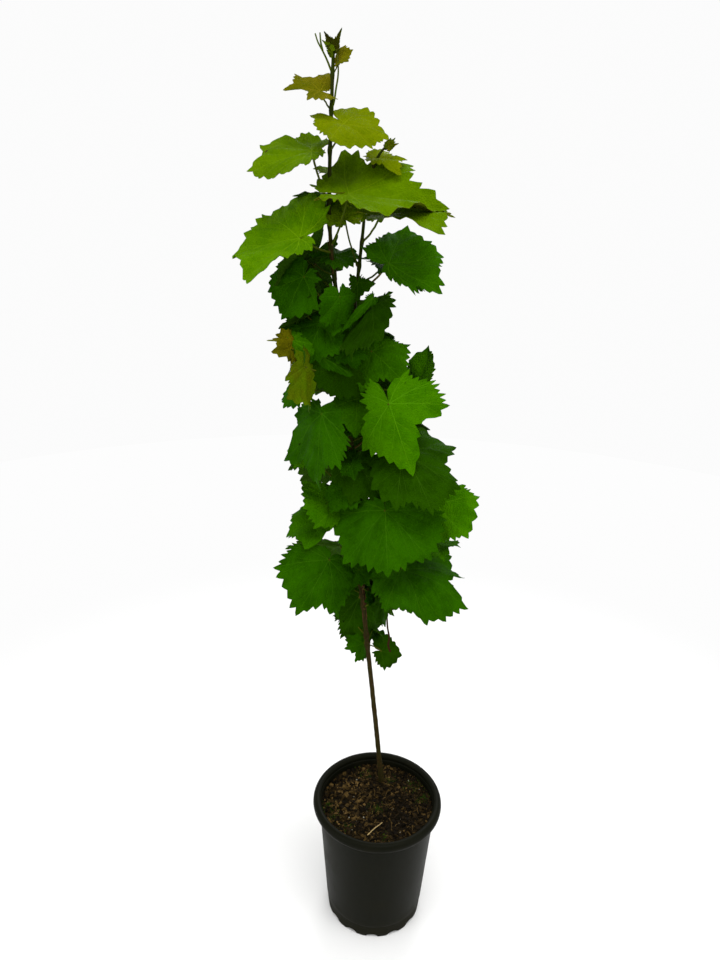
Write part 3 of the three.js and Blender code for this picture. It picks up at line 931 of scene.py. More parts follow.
def barkStrings():
    # Thin strips that come loose from the bark at their upper ends
    rng = random.Random(5)
    heap = newHeap()
    for low, high, part in shoots["stringHeights"]:
        for _ in range(int(shoots["strings"] * part)):
            start = rng.uniform(low, high)
            length = rng.uniform(*shoots["stringLength"])
            around = rng.uniform(0, fullTurn)
            lift = rng.uniform(*shoots["stringLift"])
            route = []
            for t in np.linspace(0, 1, 6):
                middle = pointOn(stemLine, (start + length * t) * mm)
                radius = np.interp(middle[2], stemLine[:, 2], stemRadii)
                away = radius + (0.1 + lift * t ** 2) * mm
                angle = around + 0.5 * t
                route.append(middle + away * np.array((math.cos(angle), math.sin(angle), 0)))
            width = rng.uniform(*shoots["stringWidth"]) * mm
            points, faces = tube(smoothPath(route, 10), np.linspace(1, 0.35, 10) * width, 5)
            addPart(heap, points, faces)
    return heap


def makeShoots():
    material = shootMaterial()
    for node, line, radii, key in (("stem", stemLine, stemRadii, "stem"),
                                   ("side_shoot", sideLine, sideRadii, "side")):
        heights = [row[1] for rows in leafRows.values() for row in rows if row[0] == key]
        kept = line[:, 2] < shoots["tops"][key] * mm
        line, radii = line[kept], radii[kept]
        length = np.linalg.norm(np.diff(line, axis=0), axis=1).sum()
        count = int(length / (shoots["ring"] * mm))
        path = smoothPath(line[::6], count)
        reach = np.interp(np.linspace(0, 1, count), np.linspace(0, 1, len(radii)), radii)
        if key == "stem":        # the foot goes on a little way into the mix
            path[0] += (path[0] - path[1]) * 3
        heap = newHeap()
        points, faces = tube(path, reach, shoots["sides"], barkRelief(path, heights, shoots["phases"][key]))
        addPart(heap, points, faces)
        makePiece("vine_" + node, heap, [material], [node], 60)

    strings, tree, shader, _ = mottledMaterial(
        "loose_bark", shoots["barkString"], shoots["barkPatch"], shoots["bark"], 0.15, 0.85,
        Patches=0.7, Flecks=0.5, Patch_Scale=120.0)
    addFibres(tree, shader, 2500.0, 150.0, 0.0004)
    makePiece("loose_bark_strings", barkStrings(), [strings])


makeShoots()


leafForm = {
    # lobes on each side: degrees from the tip, reach, and how deep the bay before it goes
    "left": ((51, 0.85, 1.2), (103, 0.70, 1.0), (154, 0.55, 0.8)),
    "right": ((51, 0.85, 1.2), (103, 0.70, 1.0), (154, 0.55, 0.8)),
    "lastCut": 0.4,
    "sinus": 0.9,                  # depth and degrees of the bay at the stalk
    "sinusWidth": 7,
    "lobing": 0.14,
    "teeth": (5, 5, 4, 2),         # between one lobe's tip and the next, from the leaf's tip back
    "tooth": 0.08,
    "leftTooth": 1.0,
    "rightTooth": 1.0,
    "bend": 0.12,
    "ruffle": 0.035,
    "ruffles": 7,
    "wave": 0.042,
    "pucker": 0.025,
    "puckerReach": 0.045,
    "rim": 0.02,
    "rimWaves": 19,
    "curl": 0.0,
    "thickness": 0.32,             # millimetres
    "mainRib": (1.05, 0.3),        # widths at its start and end, in millimetres
    "sideRib": (0.45, 0.16),
    "ribLift": 0.18,
    "underRib": 0.75,
    "stalk": (1.75, 1.2),
    "smallBelow": 34,              # millimetres
    "largeAbove": 50,
    "toothShares": (0.55, 0.8, 1.0),       # of a small, a middling and a large leaf
    "nets": (0.11, 0.075, 0.055),
}

toneColours = {      # base, patches and flecks; dark, deep, mid, bright and fresh are darker and lighter copies of one green, partly the leaves' own colour and partly painted shade and painted light
    "dark": (colour(26, 56, 0), colour(19, 44, 0), colour(36, 68, 0)),
    "deep": (colour(33, 69, 0), colour(23, 52, 0), colour(44, 80, 0)),
    "mid": (colour(38, 84, 0), colour(27, 66, 0), colour(54, 98, 0)),
    "bright": (colour(48, 97, 0), colour(36, 79, 0), colour(66, 112, 0)),
    "fresh": (colour(59, 112, 0), colour(45, 95, 0), colour(80, 128, 2)),
    "grass": (colour(80, 121, 0), colour(62, 104, 0), colour(102, 134, 4)),
    "lime": (colour(82, 113, 0), colour(68, 99, 0), colour(104, 128, 4)),
    "pale": (colour(108, 140, 2), colour(92, 126, 0), colour(126, 148, 10)),
    "gold": (colour(98, 114, 0), colour(84, 102, 0), colour(122, 122, 8)),
    "bronze": (colour(100, 96, 5), colour(76, 82, 4), colour(118, 112, 14)),
    "bronzeGreen": (colour(70, 94, 2), colour(72, 80, 4), colour(96, 106, 10)),
    "horn": (colour(48, 52, 4), colour(36, 30, 4), colour(66, 68, 10)),
    "olive": (colour(28, 60, 0), colour(22, 48, 0), colour(42, 72, 4)),
    "underside": (colour(46, 80, 10), colour(38, 68, 6), colour(64, 96, 20)),
    "youngUnderside": (colour(104, 118, 20), colour(88, 92, 14), colour(126, 132, 42)),
}
tones = list(toneColours)
stalkColours = {     # base and patches
    "stalk_green": (colour(64, 82, 8), colour(76, 76, 20)),
    "stalk_rose": (colour(94, 80, 30), colour(78, 84, 18)),
}
# The outline of each leaf, left and then right of its tip: three lobes a side, with the degrees from the tip,
# and, in hundredths, the reach and how deep the bay before the lobe goes
leafShapes = {
    "low_leaf": [
        ((57, 70, 30), (110, 94, 30), (136, 66, 60), (60, 85, 0), (100, 44, 0), (160, 36, 90)),
        ((33, 95, 0), (111, 45, 240), (144, 51, 30), (61, 89, 240), (101, 90, 0), (151, 48, 50)),
        ((38, 115, 0), (103, 63, 70), (153, 59, 0), (24, 54, 20), (105, 56, 50), (141, 42, 0)),
        ((47, 88, 200), (99, 73, 100), (156, 59, 80), (54, 94, 20), (97, 54, 0), (154, 30, 150)),
        ((41, 111, 0), (72, 95, 190), (107, 108, 20), (36, 105, 70), (56, 75, 70), (137, 45, 160)),
        ((39, 93, 140), (76, 62, 30), (123, 34, 0), (49, 96, 0), (75, 70, 0), (95, 32, 0)),
        ((53, 92, 20), (101, 71, 50), (152, 56, 140), (52, 106, 110), (103, 65, 30), (159, 51, 50)),
        ((46, 115, 0), (127, 40, 310), (145, 44, 90), (48, 96, 100), (78, 71, 0), (143, 56, 70)),
        ((40, 93, 50), (94, 82, 0), (112, 74, 60), (50, 96, 70), (104, 115, 120), (123, 50, 20)),
        ((30, 99, 0), (78, 45, 30), (153, 49, 80), (67, 114, 100), (128, 77, 140), (158, 88, 80)),
        ((24, 82, 40), (101, 73, 130), (151, 59, 90), (64, 113, 70), (94, 94, 0), (133, 54, 0)),
    ],
    "middle_leaf": [
        ((37, 85, 50), (99, 52, 110), (152, 46, 0), (49, 90, 110), (102, 53, 120), (149, 32, 0)),
        ((45, 110, 110), (100, 67, 120), (160, 65, 180), (57, 86, 160), (116, 67, 0), (147, 44, 140)),
        ((32, 98, 10), (90, 87, 200), (160, 98, 180), (32, 84, 80), (125, 43, 30), (158, 69, 50)),
        ((51, 85, 120), (103, 70, 100), (154, 55, 80), (51, 85, 120), (103, 70, 100), (154, 55, 80)),
        ((30, 82, 90), (54, 58, 10), (92, 30, 70), (59, 113, 210), (102, 68, 180), (124, 37, 30)),
        ((69, 78, 340), (97, 65, 0), (131, 46, 90), (47, 71, 80), (128, 34, 310), (160, 40, 0)),
        ((56, 107, 120), (110, 72, 100), (152, 34, 80), (63, 99, 120), (119, 30, 100), (152, 34, 80)),
        ((53, 103, 30), (77, 99, 0), (139, 36, 130), (62, 115, 0), (84, 74, 0), (129, 31, 150)),
        ((75, 75, 10), (123, 85, 140), (149, 56, 70), (56, 60, 10), (93, 50, 40), (160, 63, 60)),
        ((61, 69, 90), (82, 44, 80), (153, 62, 10), (52, 87, 180), (106, 75, 150), (156, 56, 30)),
        ((43, 88, 40), (99, 66, 100), (157, 51, 10), (56, 87, 60), (85, 79, 70), (152, 63, 10)),
    ],
    "upper_leaf": [
        ((24, 109, 50), (77, 54, 90), (113, 30, 180), (38, 81, 50), (87, 98, 50), (115, 58, 110)),
        ((47, 90, 20), (88, 72, 20), (156, 39, 70), (43, 100, 0), (91, 73, 0), (148, 44, 0)),
        ((54, 81, 0), (107, 33, 310), (160, 30, 190), (45, 84, 40), (97, 88, 30), (143, 47, 110)),
        ((75, 101, 150), (126, 32, 170), (154, 43, 150), (27, 76, 0), (72, 33, 90), (143, 58, 60)),
        ((50, 115, 90), (89, 54, 20), (121, 54, 40), (47, 96, 80), (74, 66, 150), (106, 30, 40)),
        ((38, 113, 60), (94, 67, 190), (159, 73, 120), (28, 84, 80), (98, 74, 10), (159, 49, 40)),
        ((59, 100, 120), (93, 49, 180), (123, 44, 10), (43, 78, 80), (90, 81, 40), (129, 52, 20)),
        ((53, 84, 140), (104, 73, 90), (151, 40, 80), (44, 75, 120), (95, 71, 100), (152, 49, 90)),
        ((48, 92, 70), (105, 59, 110), (150, 52, 110), (41, 115, 30), (99, 44, 100), (153, 36, 60)),
        ((44, 85, 170), (98, 71, 220), (160, 42, 150), (68, 83, 20), (104, 30, 220), (148, 40, 100)),
    ],
    "top_leaf": [
        ((55, 84, 150), (102, 73, 100), (154, 59, 60), (51, 88, 160), (102, 71, 90), (154, 56, 90)),
        ((47, 84, 0), (74, 49, 80), (120, 31, 120), (56, 113, 240), (99, 77, 220), (149, 43, 60)),
        ((24, 115, 0), (102, 98, 130), (155, 71, 0), (63, 100, 30), (120, 70, 90), (154, 86, 30)),
    ],
    "young_leaf": [
        ((60, 90, 230), (102, 76, 150), (145, 39, 130), (47, 115, 140), (100, 58, 190), (153, 49, 50)),
        ((59, 65, 350), (127, 73, 110), (151, 42, 100), (46, 105, 130), (102, 100, 270), (141, 34, 10)),
        ((59, 108, 120), (122, 53, 90), (153, 63, 60), (53, 115, 100), (102, 30, 90), (158, 54, 30)),
        ((37, 96, 0), (110, 64, 30), (157, 61, 50), (54, 103, 160), (87, 110, 100), (158, 54, 110)),
        ((31, 60, 50), (96, 70, 120), (152, 51, 150), (57, 101, 40), (78, 78, 90), (154, 49, 240)),
        ((50, 94, 0), (104, 67, 80), (150, 52, 10), (57, 98, 50), (101, 74, 100), (159, 47, 150)),
    ],
    "back_leaf": [
        ((51, 89, 100), (114, 70, 90), (159, 55, 80), (51, 84, 100), (103, 70, 100), (160, 55, 160)),
        ((46, 95, 70), (105, 67, 90), (160, 55, 10), (50, 93, 140), (112, 61, 40), (157, 55, 110)),
        ((50, 84, 120), (102, 70, 90), (152, 55, 100), (51, 85, 130), (103, 70, 100), (160, 55, 80)),
        ((46, 91, 110), (107, 78, 50), (152, 57, 60), (51, 89, 160), (110, 72, 120), (158, 48, 50)),
        ((52, 85, 90), (101, 71, 100), (152, 55, 70), (53, 87, 170), (104, 72, 110), (154, 54, 80)),
        ((51, 88, 130), (96, 70, 100), (157, 56, 50), (60, 81, 120), (105, 69, 90), (154, 59, 130)),
        ((51, 83, 100), (103, 70, 110), (154, 55, 80), (51, 85, 130), (103, 70, 100), (155, 55, 80)),
        ((51, 85, 80), (103, 70, 100), (154, 56, 90), (51, 84, 120), (104, 71, 90), (154, 56, 70)),
        ((51, 86, 110), (103, 70, 100), (154, 56, 100), (51, 86, 120), (104, 71, 90), (153, 56, 70)),
        ((54, 92, 100), (110, 69, 80), (160, 79, 150), (44, 76, 120), (108, 69, 160), (157, 54, 170)),
        ((55, 80, 150), (97, 65, 60), (156, 73, 130), (55, 86, 50), (102, 66, 90), (155, 58, 110)),
        ((49, 82, 150), (101, 70, 130), (157, 57, 90), (52, 84, 90), (116, 69, 90), (157, 51, 50)),
        ((55, 89, 20), (102, 68, 120), (154, 55, 120), (49, 82, 150), (103, 65, 140), (153, 50, 90)),
    ],
}
leafTones = {             # in the order of the rows above; each leaf's tone matches how light or dark it looks where it stands, so it is partly its own colour and partly painted shade and painted light
    "low_leaf": "deep mid deep deep mid mid fresh bright mid fresh fresh",
    "middle_leaf": "fresh deep deep bright mid fresh bright olive fresh bright mid",
    "upper_leaf": "dark mid mid deep bright bright grass pale lime lime",
    "top_leaf": "pale lime gold",
    "young_leaf": "gold bronze bronze bronze bronzeGreen mid",
    "back_leaf": "mid mid mid mid mid mid mid mid mid mid mid mid mid",
}
# These two undersides take tones matched to how light or dark they look, partly painted light and painted
# shade
underTones = {"middle_leaf_8": "olive", "middle_leaf_9": "grass"}
leafExtras = {
    "middle_leaf_3": {"curl": 0.05},
    "upper_leaf_7": {"leftTooth": 0.4},
    "upper_leaf_10": {"rightTooth": 0.25},
    "top_leaf_2": {"leftTooth": 0.35},
    "young_leaf_4": {"wave": 0.14, "pucker": 0.06, "ruffle": 0.1},
    "young_leaf_5": {"wave": 0.12, "pucker": 0.05},
}


def halfOutline(form, side, rng, teeth):
    # One half of a blade of length 1, from its tip round to its stalk: angles, radii, teeth and lobes
    lobes = [(0.0, 1.0)] + [(math.radians(angle), reach) for angle, reach, _ in form[side]]
    cuts = [cut for _, _, cut in form[side]] + [form["lastCut"]]
    back = max(math.pi * 0.93, lobes[3][0] + 0.1)
    stops = lobes + [(back, lobes[3][1] * max(0.4, 1 - 0.8 * (back - lobes[3][0])))]
    peaks = []
    for k in range(4):
        start, end = stops[k][0], stops[k + 1][0]
        for i in range(teeth[k]):
            angle = start + (end - start) * (i + (0.18 * rng.uniform(-1, 1) if i else 0)) / teeth[k]
            size = 1.35 if i == 0 else (1.15 if i % 2 == 0 else 0.8) * rng.uniform(0.65, 1.3)
            peaks.append((angle, size * form["tooth"] * form[side + "Tooth"]))
    rows = []
    for i, (angle, size) in enumerate(peaks):
        following = peaks[i + 1] if i + 1 < len(peaks) else (back, 0)
        gap = following[0] - angle
        rows.append((angle, size))
        rows.append((angle + 0.22 * gap, 0.62 * size))
        rows.append((angle + (0.52 + 0.06 * rng.uniform(-1, 1)) * gap, 0))
        if following[1]:
            rows.append((angle + 0.8 * gap, 0.62 * following[1]))
    rows += [(back + (math.pi - back) * share, 0) for share in (0.2, 0.5, 0.75, 0.93)]
    angles, extra = np.array(rows).T
    starts, reaches = np.array(stops).T
    lobe = np.clip(np.searchsorted(starts, angles, "right") - 1, 0, 3)
    share = np.clip((angles - starts[lobe]) / (starts[lobe + 1] - starts[lobe]), 0, 1)
    depth = form["lobing"] * np.array(cuts)[lobe]
    base = reaches[lobe] * (1 - share) + reaches[lobe + 1] * share
    base = base * (1 - depth * np.sin(math.pi * share) ** 1.7)
    sinus = 1 - form["sinus"] * np.exp(-((math.pi - angles) / math.radians(form["sinusWidth"])) ** 2)
    radii = (base + extra * (1 - np.exp(-((math.pi - angles) / 0.35) ** 2))) * sinus
    return angles, radii, [(peak[0], np.interp(peak[0], angles, radii)) for peak in peaks], lobes


def bladeRibs(halves, bow):
    # Lines of the main ribs and their side ribs on the flat blade, with each rib's rank
    ribs = []

    def direction(angle):
        return np.array((math.cos(angle), math.sin(angle)))

    for side, (angles, radii, peaks, lobes) in zip((1, -1), halves):
        owners = [min(range(4), key=lambda k: abs(peak[0] - lobes[k][0])) for peak in peaks]
        for k, (angle, _) in enumerate(lobes):
            reach = 0.95 * np.interp(angle, angles, radii)
            ahead = direction(side * angle)
            lean = direction(side * angle + math.pi / 2) * bow * side * (k / 3) * reach

            def main(t):
                return ahead * reach * t + lean * math.sin(math.pi * t)

            if k or side > 0:
                steps = 11 if reach > 0.6 else 8
                ribs.append((np.array([main(t) for t in np.linspace(0, 1, steps)]), 0))
            for hand in (1, -1):
                near = [peak for peak, owner in zip(peaks, owners)
                        if owner == k and hand * (peak[0] - angle) > 0.06]
                near.sort(key=lambda peak: abs(peak[0] - angle))
                for rank, (peakAngle, peakRadius) in enumerate(near, 1):
                    start = main(0.8 - 0.66 * rank / (len(near) + 0.4))
                    end = direction(side * peakAngle) * peakRadius * 0.965
                    middle = (start + end) / 2 + ahead * np.linalg.norm(end - start) * 0.1
                    ribs.append((bend(start, middle, end, 6), 1))
    return ribs


def distanceTo(points, segments):
    start, end = segments[:, 0], segments[:, 1]
    along = end - start
    size = np.maximum((along ** 2).sum(1), 1e-12)
    offset = points[:, None] - start[None]
    share = np.clip((offset * along[None]).sum(2) / size, 0, 1)
    return np.linalg.norm(offset - share[..., None] * along[None], axis=2).min(1)


def bladeHeights(points, form, segments, waves, rim):
    x, y = points[:, 0], points[:, 1]
    radius = np.hypot(x, y)
    angle = np.arctan2(y, x)
    share = radius / np.interp(angle, rim[0], rim[1])
    height = -form["bend"] * radius ** 2 + form["fold"] * np.abs(y)
    height -= form["ruffle"] * radius ** 2 * np.cos(form["ruffles"] * angle)
    for heading, size, phase, amount in waves:
        height += amount * radius * np.sin(size * (x * math.cos(heading) + y * math.sin(heading)) + phase)
    height += form["pucker"] * (1 - np.exp(-(distanceTo(points, segments) / form["puckerReach"]) ** 2))
    edge = np.clip((share - 0.7) / 0.3, 0, 1.2)
    height += form["rim"] * edge ** 2 * np.sin(form["rimWaves"] * angle + waves[0][2])
    return height - form["curl"] * edge ** 2


def flatBlade(rim, ribs, grid, rng):
    # A flat net of triangles inside the rim, cut along it and along the ribs
    angles, radii = rim
    outline = np.stack([radii * np.cos(angles), radii * np.sin(angles)], 1)
    coords = [Vector(point) for point in outline]
    edges = []
    for line, _ in ribs:
        edges += [(len(coords) + i, len(coords) + i + 1) for i in range(len(line) - 1)]
        coords += [Vector(point) for point in line]
    for row in range(-int(1.1 / grid), int(1.1 / grid) + 1):
        for column in range(-int(1.1 / grid), int(1.2 / grid) + 1):
            x = (column + 0.5 * (row % 2) + rng.uniform(-0.2, 0.2)) * grid
            y = (row * 0.87 + rng.uniform(-0.2, 0.2)) * grid
            if math.hypot(x, y) < 0.95 * np.interp(math.atan2(y, x), angles, radii):
                coords.append(Vector((x, y)))
    points, _, faces = geometry.delaunay_2d_cdt(coords, edges, [list(range(len(outline)))], 1, 1e-6)[:3]
    return np.array([tuple(point) for point in points]), np.array([face for face in faces if len(face) == 3])


def faceUp(points, triangles):
    # The triangles, turned over if most face down, and the normal at each point
    a, b, c = (points[triangles[:, k]] for k in range(3))
    facing = np.cross(b - a, c - a)
    if facing[:, 2].sum() < 0:
        triangles, facing = triangles[:, ::-1], -facing
    normals = np.zeros_like(points)
    for k in range(3):
        np.add.at(normals, triangles[:, k], facing)
    return triangles, normals / np.maximum(np.linalg.norm(normals, axis=1), 1e-15)[:, None]


def marginOf(triangles):
    # Edges that only one triangle uses
    edges = dict.fromkeys((face[i], face[(i + 1) % 3]) for face in triangles.tolist() for i in range(3))
    return [edge for edge in edges if edge[::-1] not in edges]


def ridgeFaces(count, upper):
    # Faces between three rows of points: a rib's crest between its two sides
    faces = []
    for i in range(count - 1):
        for low in (0, count):
            quad = (low + i, low + i + 1, low + count + i + 1, low + count + i)
            faces.append(quad[::-1] if upper else quad)
    return faces


def addLeaf(blades, ribsHeap, joint, turn, size, looks, tone, rng, under="underside"):
    # size in metres. The blade lies in x (to its tip) and y, with its upper face up z, before it is turned.
    form = dict(leafForm, fold=0.0)
    form.update(looks)
    small = size < form["smallBelow"] * mm
    rank = 0 if small else 2 if size > form["largeAbove"] * mm else 1
    teeth = [max(2, round(n * form["toothShares"][rank])) for n in form["teeth"]]
    if small:
        form["tooth"] *= 1.5
    halves = [halfOutline(form, side, rng, teeth) for side in ("left", "right")]
    left, right = halves
    rim = (np.concatenate([-right[0][::-1][:-1], left[0]]), np.concatenate([right[1][::-1][:-1], left[1]]))
    ribs = bladeRibs(halves, rng.uniform(0.02, 0.07))
    if small:
        ribs = [rib for i, rib in enumerate(ribs) if rib[1] == 0 or i % 2]
    flat, triangles = flatBlade(rim, ribs, form["nets"][rank], rng)
    segments = np.concatenate([np.stack([line[:-1], line[1:]], 1) for line, _ in ribs])
    waves = [(rng.uniform(0, fullTurn), rng.uniform(3.5, 7.5), rng.uniform(0, fullTurn),
              form["wave"] * rng.uniform(0.5, 1.2)) for _ in range(4)]
    turned = np.array(turn)

    def stand(points):
        return np.column_stack([points, bladeHeights(points, form, segments, waves, rim)]) * size

    local = stand(flat)
    triangles, normals = faceUp(local, triangles)
    thick = form["thickness"] * mm
    count = len(local)
    points = np.concatenate([local, local - normals * thick]) @ turned.T + joint
    backs = (triangles[:, ::-1] + count).tolist()
    walls = [(j, i, i + count, j + count) for i, j in marginOf(triangles)]
    addPart(blades, points, triangles.tolist(), tones.index(tone),
            ((backs, tones.index(under)), (walls, tones.index(under))))

    for line, rank in ribs:
        wide = np.linspace(*form["sideRib" if rank else "mainRib"], len(line)) * mm
        wide *= min(1.0, 0.35 + size / 0.1)
        along = np.gradient(line, axis=0)
        across = np.stack([-along[:, 1], along[:, 0]], 1) / np.linalg.norm(along, axis=1)[:, None]
        half = across * (wide / 2 / size)[:, None]
        layers = [(0.06 * mm, form["ribLift"] * mm, tone)]
        if not small:            # larger leaves have ribs on their undersides too
            layers.append((-thick * 0.8, -thick - form["underRib"] * wide, under))
        for side, (sideLift, middleLift, paint) in enumerate(layers):
            rows = [stand(line - half), stand(line), stand(line + half)]
            for row, lift in zip(rows, (sideLift, middleLift, sideLift)):
                row[:, 2] += lift
            points = np.concatenate(rows) @ turned.T + joint
            addPart(ribsHeap, points, ridgeFaces(len(line), side == 0), tones.index(paint))


def layOut(row):
    # The foot, lean, joint and turn of a leaf, from its row
    shoot, height, bearing, reach, rise, tip, dip, roll = row[:8]
    foot = pointOn(lines[shoot], height * mm)
    lean = np.array((math.cos(math.radians(bearing)), math.sin(math.radians(bearing)), 0))
    joint = foot + lean * reach * mm + np.array((0, 0, rise * mm))
    turn = Euler((math.radians(roll), math.radians(dip), math.radians(tip)), "XYZ").to_matrix()
    return foot, lean, joint, turn


def addStalk(heap, foot, lean, joint, rng, thin=1.0):
    reach = np.linalg.norm((joint - foot)[:2])
    knee = foot + lean * reach / 2 + np.array((0, 0, (joint - foot)[2] * 0.25))
    steps = 14
    path = bend(foot, knee, joint, steps)
    path[1:-1] += np.array([[rng.gauss(0, 0.16) * mm for _ in range(3)] for _ in range(steps - 2)])
    t = np.linspace(0, 1, steps)
    first, last = leafForm["stalk"]
    radii = (last + (first - last) * np.exp(-t * 9) + 0.3 * np.exp(-((1 - t) / 0.06) ** 2)) * mm * thin
    points, faces = tube(path, radii, 9)
    addPart(heap, points, faces, rng.choice((0, 0, 0, 0, 0, 1)))


def makeLeafMaterials():
    blades, ribs, stalks = [], [], []
    for tone, (base, patch, fleck) in toneColours.items():
        roughness = 0.7 if tone in ("underside", "youngUnderside", "olive") else 0.58
        blades.append(leafMaterial("leaf_" + tone, base, patch, fleck, roughness, 0.008))
    for tone, (base, _, fleck) in toneColours.items():       # a rib is a little paler than its blade
        paler = (base[0] * 1.25 + 0.006, base[1] * 1.2 + 0.006, base[2] * 1.1 + 0.002, 1.0)
        ribs.append(mottledMaterial("rib_" + tone, paler, fleck, paler, 0.01, 0.6,
                                    Patches=0.6, Flecks=0.0)[0])
    for name, (base, patch) in stalkColours.items():
        material, tree, shader, _ = mottledMaterial(name, base, patch, base, 0.03, 0.6,
                                                    Patches=0.7, Flecks=0.0)
        addFibres(tree, shader, 1800.0, 200.0, 0.0003)
        stalks.append(material)
    return blades, ribs, stalks


bladeMaterials, ribMaterials, stalkMaterials = makeLeafMaterials()


def makeLeaves():
    slack = 4 * mm
    for group, rows in leafRows.items():
        blades, ribs, stalks = newHeap(), newHeap(), newHeap()
        names = [f"{group}_{i + 1}" for i in range(len(rows))]
        for name, row, shape, tone in zip(names, rows, leafShapes[group], leafTones[group].split()):
            rng = random.Random(name)
            foot, lean, joint, turn = layOut(row)
            low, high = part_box(name)
            if any(not low[k] - slack < joint[k] < high[k] + slack for k in range(3)):
                raise ValueError(f"{name} no longer lies where the packed model has it")
            lobes = [(angle, reach / 100, cut / 100) for angle, reach, cut in shape]
            looks = {"left": lobes[:3], "right": lobes[3:], "fold": row[9] if len(row) > 9 else 0.0}
            looks.update(leafExtras.get(name, {}))
            usual = "youngUnderside" if tone in ("lime", "pale", "gold", "bronze") else "underside"
            addLeaf(blades, ribs, joint, turn, row[8] * mm, looks, tone, rng, underTones.get(name, usual))
            addStalk(stalks, foot, lean, joint, rng, min(1.0, 0.5 + row[8] / 130))
        makePiece(group + "_blades", blades, bladeMaterials, names, 60)
        makePiece(group + "_ribs", ribs, ribMaterials, (), 80)
        makePiece(group + "_stalks", stalks, stalkMaterials)


makeLeaves()


growth = {
    "twigShare": 0.62,          # the share of nodes that carry a side twig
    "twigTop": 985,             # millimetres: no side twigs above
    "twig": (16, 44),           # millimetres
    "twigBlade": (14, 27),
    "fillers": 34,              # more leaves on their own stalks, behind and between the large ones
    "crown": [                  # height, and how far the crown goes left and right, seen from the front
        (415, -28, -4), (448, -51, 25), (480, -62, 23), (509, -122, 97), (540, -137, 107), (571, -151, 102),
        (601, -151, 92), (632, -135, 109), (661, -134, 113), (690, -120, 117), (717, -129, 96),
        (745, -135, 78), (772, -131, 81), (798, -123, 68), (823, -138, 66), (849, -134, 51),
        (873, -149, 48), (897, -153, 41), (921, -141, -1), (944, -140, -40), (975, -140, -60),
        (1000, -140, -70),
    ],
    "openings": [               # sky seen through the crown: place, height and radius
        (-93, 971, 9), (-67, 1014, 8), (-53, 1012, 12), (-71, 978, 8), (-53, 965, 8), (-23, 971, 22),
        (-89, 1012, 9), (-56, 990, 8), (-81, 833, 15), (-84, 717, 17), (-108, 724, 9), (-72, 636, 21),
        (4, 503, 8), (19, 879, 12), (45, 799, 14), (-20, 1028, 14),
    ],
    "fillerHeights": (520, 1010),
    "fillerBlade": (26, 44),
    "fillerReach": (22, 52),
    "tendrils": [               # millimetres, from the shoot out
        [(-79, 0, 1184), (-84, 0, 1195), (-89, 1, 1204), (-94, 1, 1212), (-97, 1, 1220)],
        [(-89, 1, 1204), (-91, 1, 1212), (-92, 2, 1221)],
        [(-79, 0, 1148), (-76, -2, 1156), (-74, -3, 1168), (-72, -3, 1180), (-72, -3, 1191), (-74, -2, 1205)],
    ],
    "blades": [                 # small folded leaves: where each starts and ends, its width, fold and tone
        ((-78, 0, 1206), (-87, 2, 1222), 0.3, 0.8, "horn"),
        ((-76, 0, 1205), (-70, -2, 1224), 0.25, 0.8, "horn"),
        ((-77, 3, 1206), (-79, 6, 1217), 0.5, 0.3, "horn"),
        ((-79, -3, 1204), (-88, -5, 1213), 0.32, 0.3, "bronzeGreen"),
        ((-79, -2, 1199), (-84, -4, 1204), 0.4, 0.3, "bronzeGreen"),
        ((-16, 9, 1113), (-10, 7, 1122), 0.5, 0.4, "bronzeGreen"),
        ((-16, 9, 1112), (-6, 7, 1117), 0.35, 0.5, "bronze"),
        ((-17, 10, 1112), (-14, 9, 1121), 0.5, 0.4, "olive"),
        # margins of larger leaves that are folded over
        ((-27, -42, 955), (-63, -52, 919), 0.13, -0.5, "mid"),
        ((-122, -34, 904), (-84, -44, 886), 0.35, -0.5, "fresh"),
        ((-85, -40, 887), (-36, -46, 863), 0.22, -0.5, "mid"),
    ],
    "dryTendril": [(-12, 11, 512), (-2, 0, 528), (3, -4, 525), (5, -6, 508), (8, -7, 492), (7, -6, 480),
                   (10, -7, 470)],
    "dry": colour(52, 26, 14),
    "budColour": colour(92, 78, 42),
    "wool": colour(150, 138, 104),
}


def addBud(heap, foot, heading, length, radius, paint=0):
    path = [foot + heading * length * t for t in np.linspace(0, 1, 7)]
    profile = np.array([0.55, 0.95, 1.0, 0.92, 0.72, 0.45, 0.12]) * radius
    points, faces = tube(path, profile, 10)
    addPart(heap, points, faces, paint)


def keepsClear(joint, turn, size):
    # True for a small leaf that stays in the crown's outline and out of the openings, seen from the front
    eye = np.array(camera["place"])
    around = [(0, 0), (1, 0), (0.6, 0.65), (0.6, -0.65), (-0.3, 0.45), (-0.3, -0.45), (0.5, 0)]
    heights, lefts, rights = zip(*growth["crown"])
    for x, y in around:
        point = joint + np.array(turn) @ np.array((x, y, 0)) * size
        seen = eye + (point - eye) * eye[1] / (eye[1] - point[1])
        across, height = seen[0] / mm, seen[2] / mm
        if not np.interp(height, heights, lefts) + 3 < across < np.interp(height, heights, rights) - 3:
            return False
        if any(math.hypot(across - a, height - h) < radius for a, h, radius in growth["openings"]):
            return False
    return True


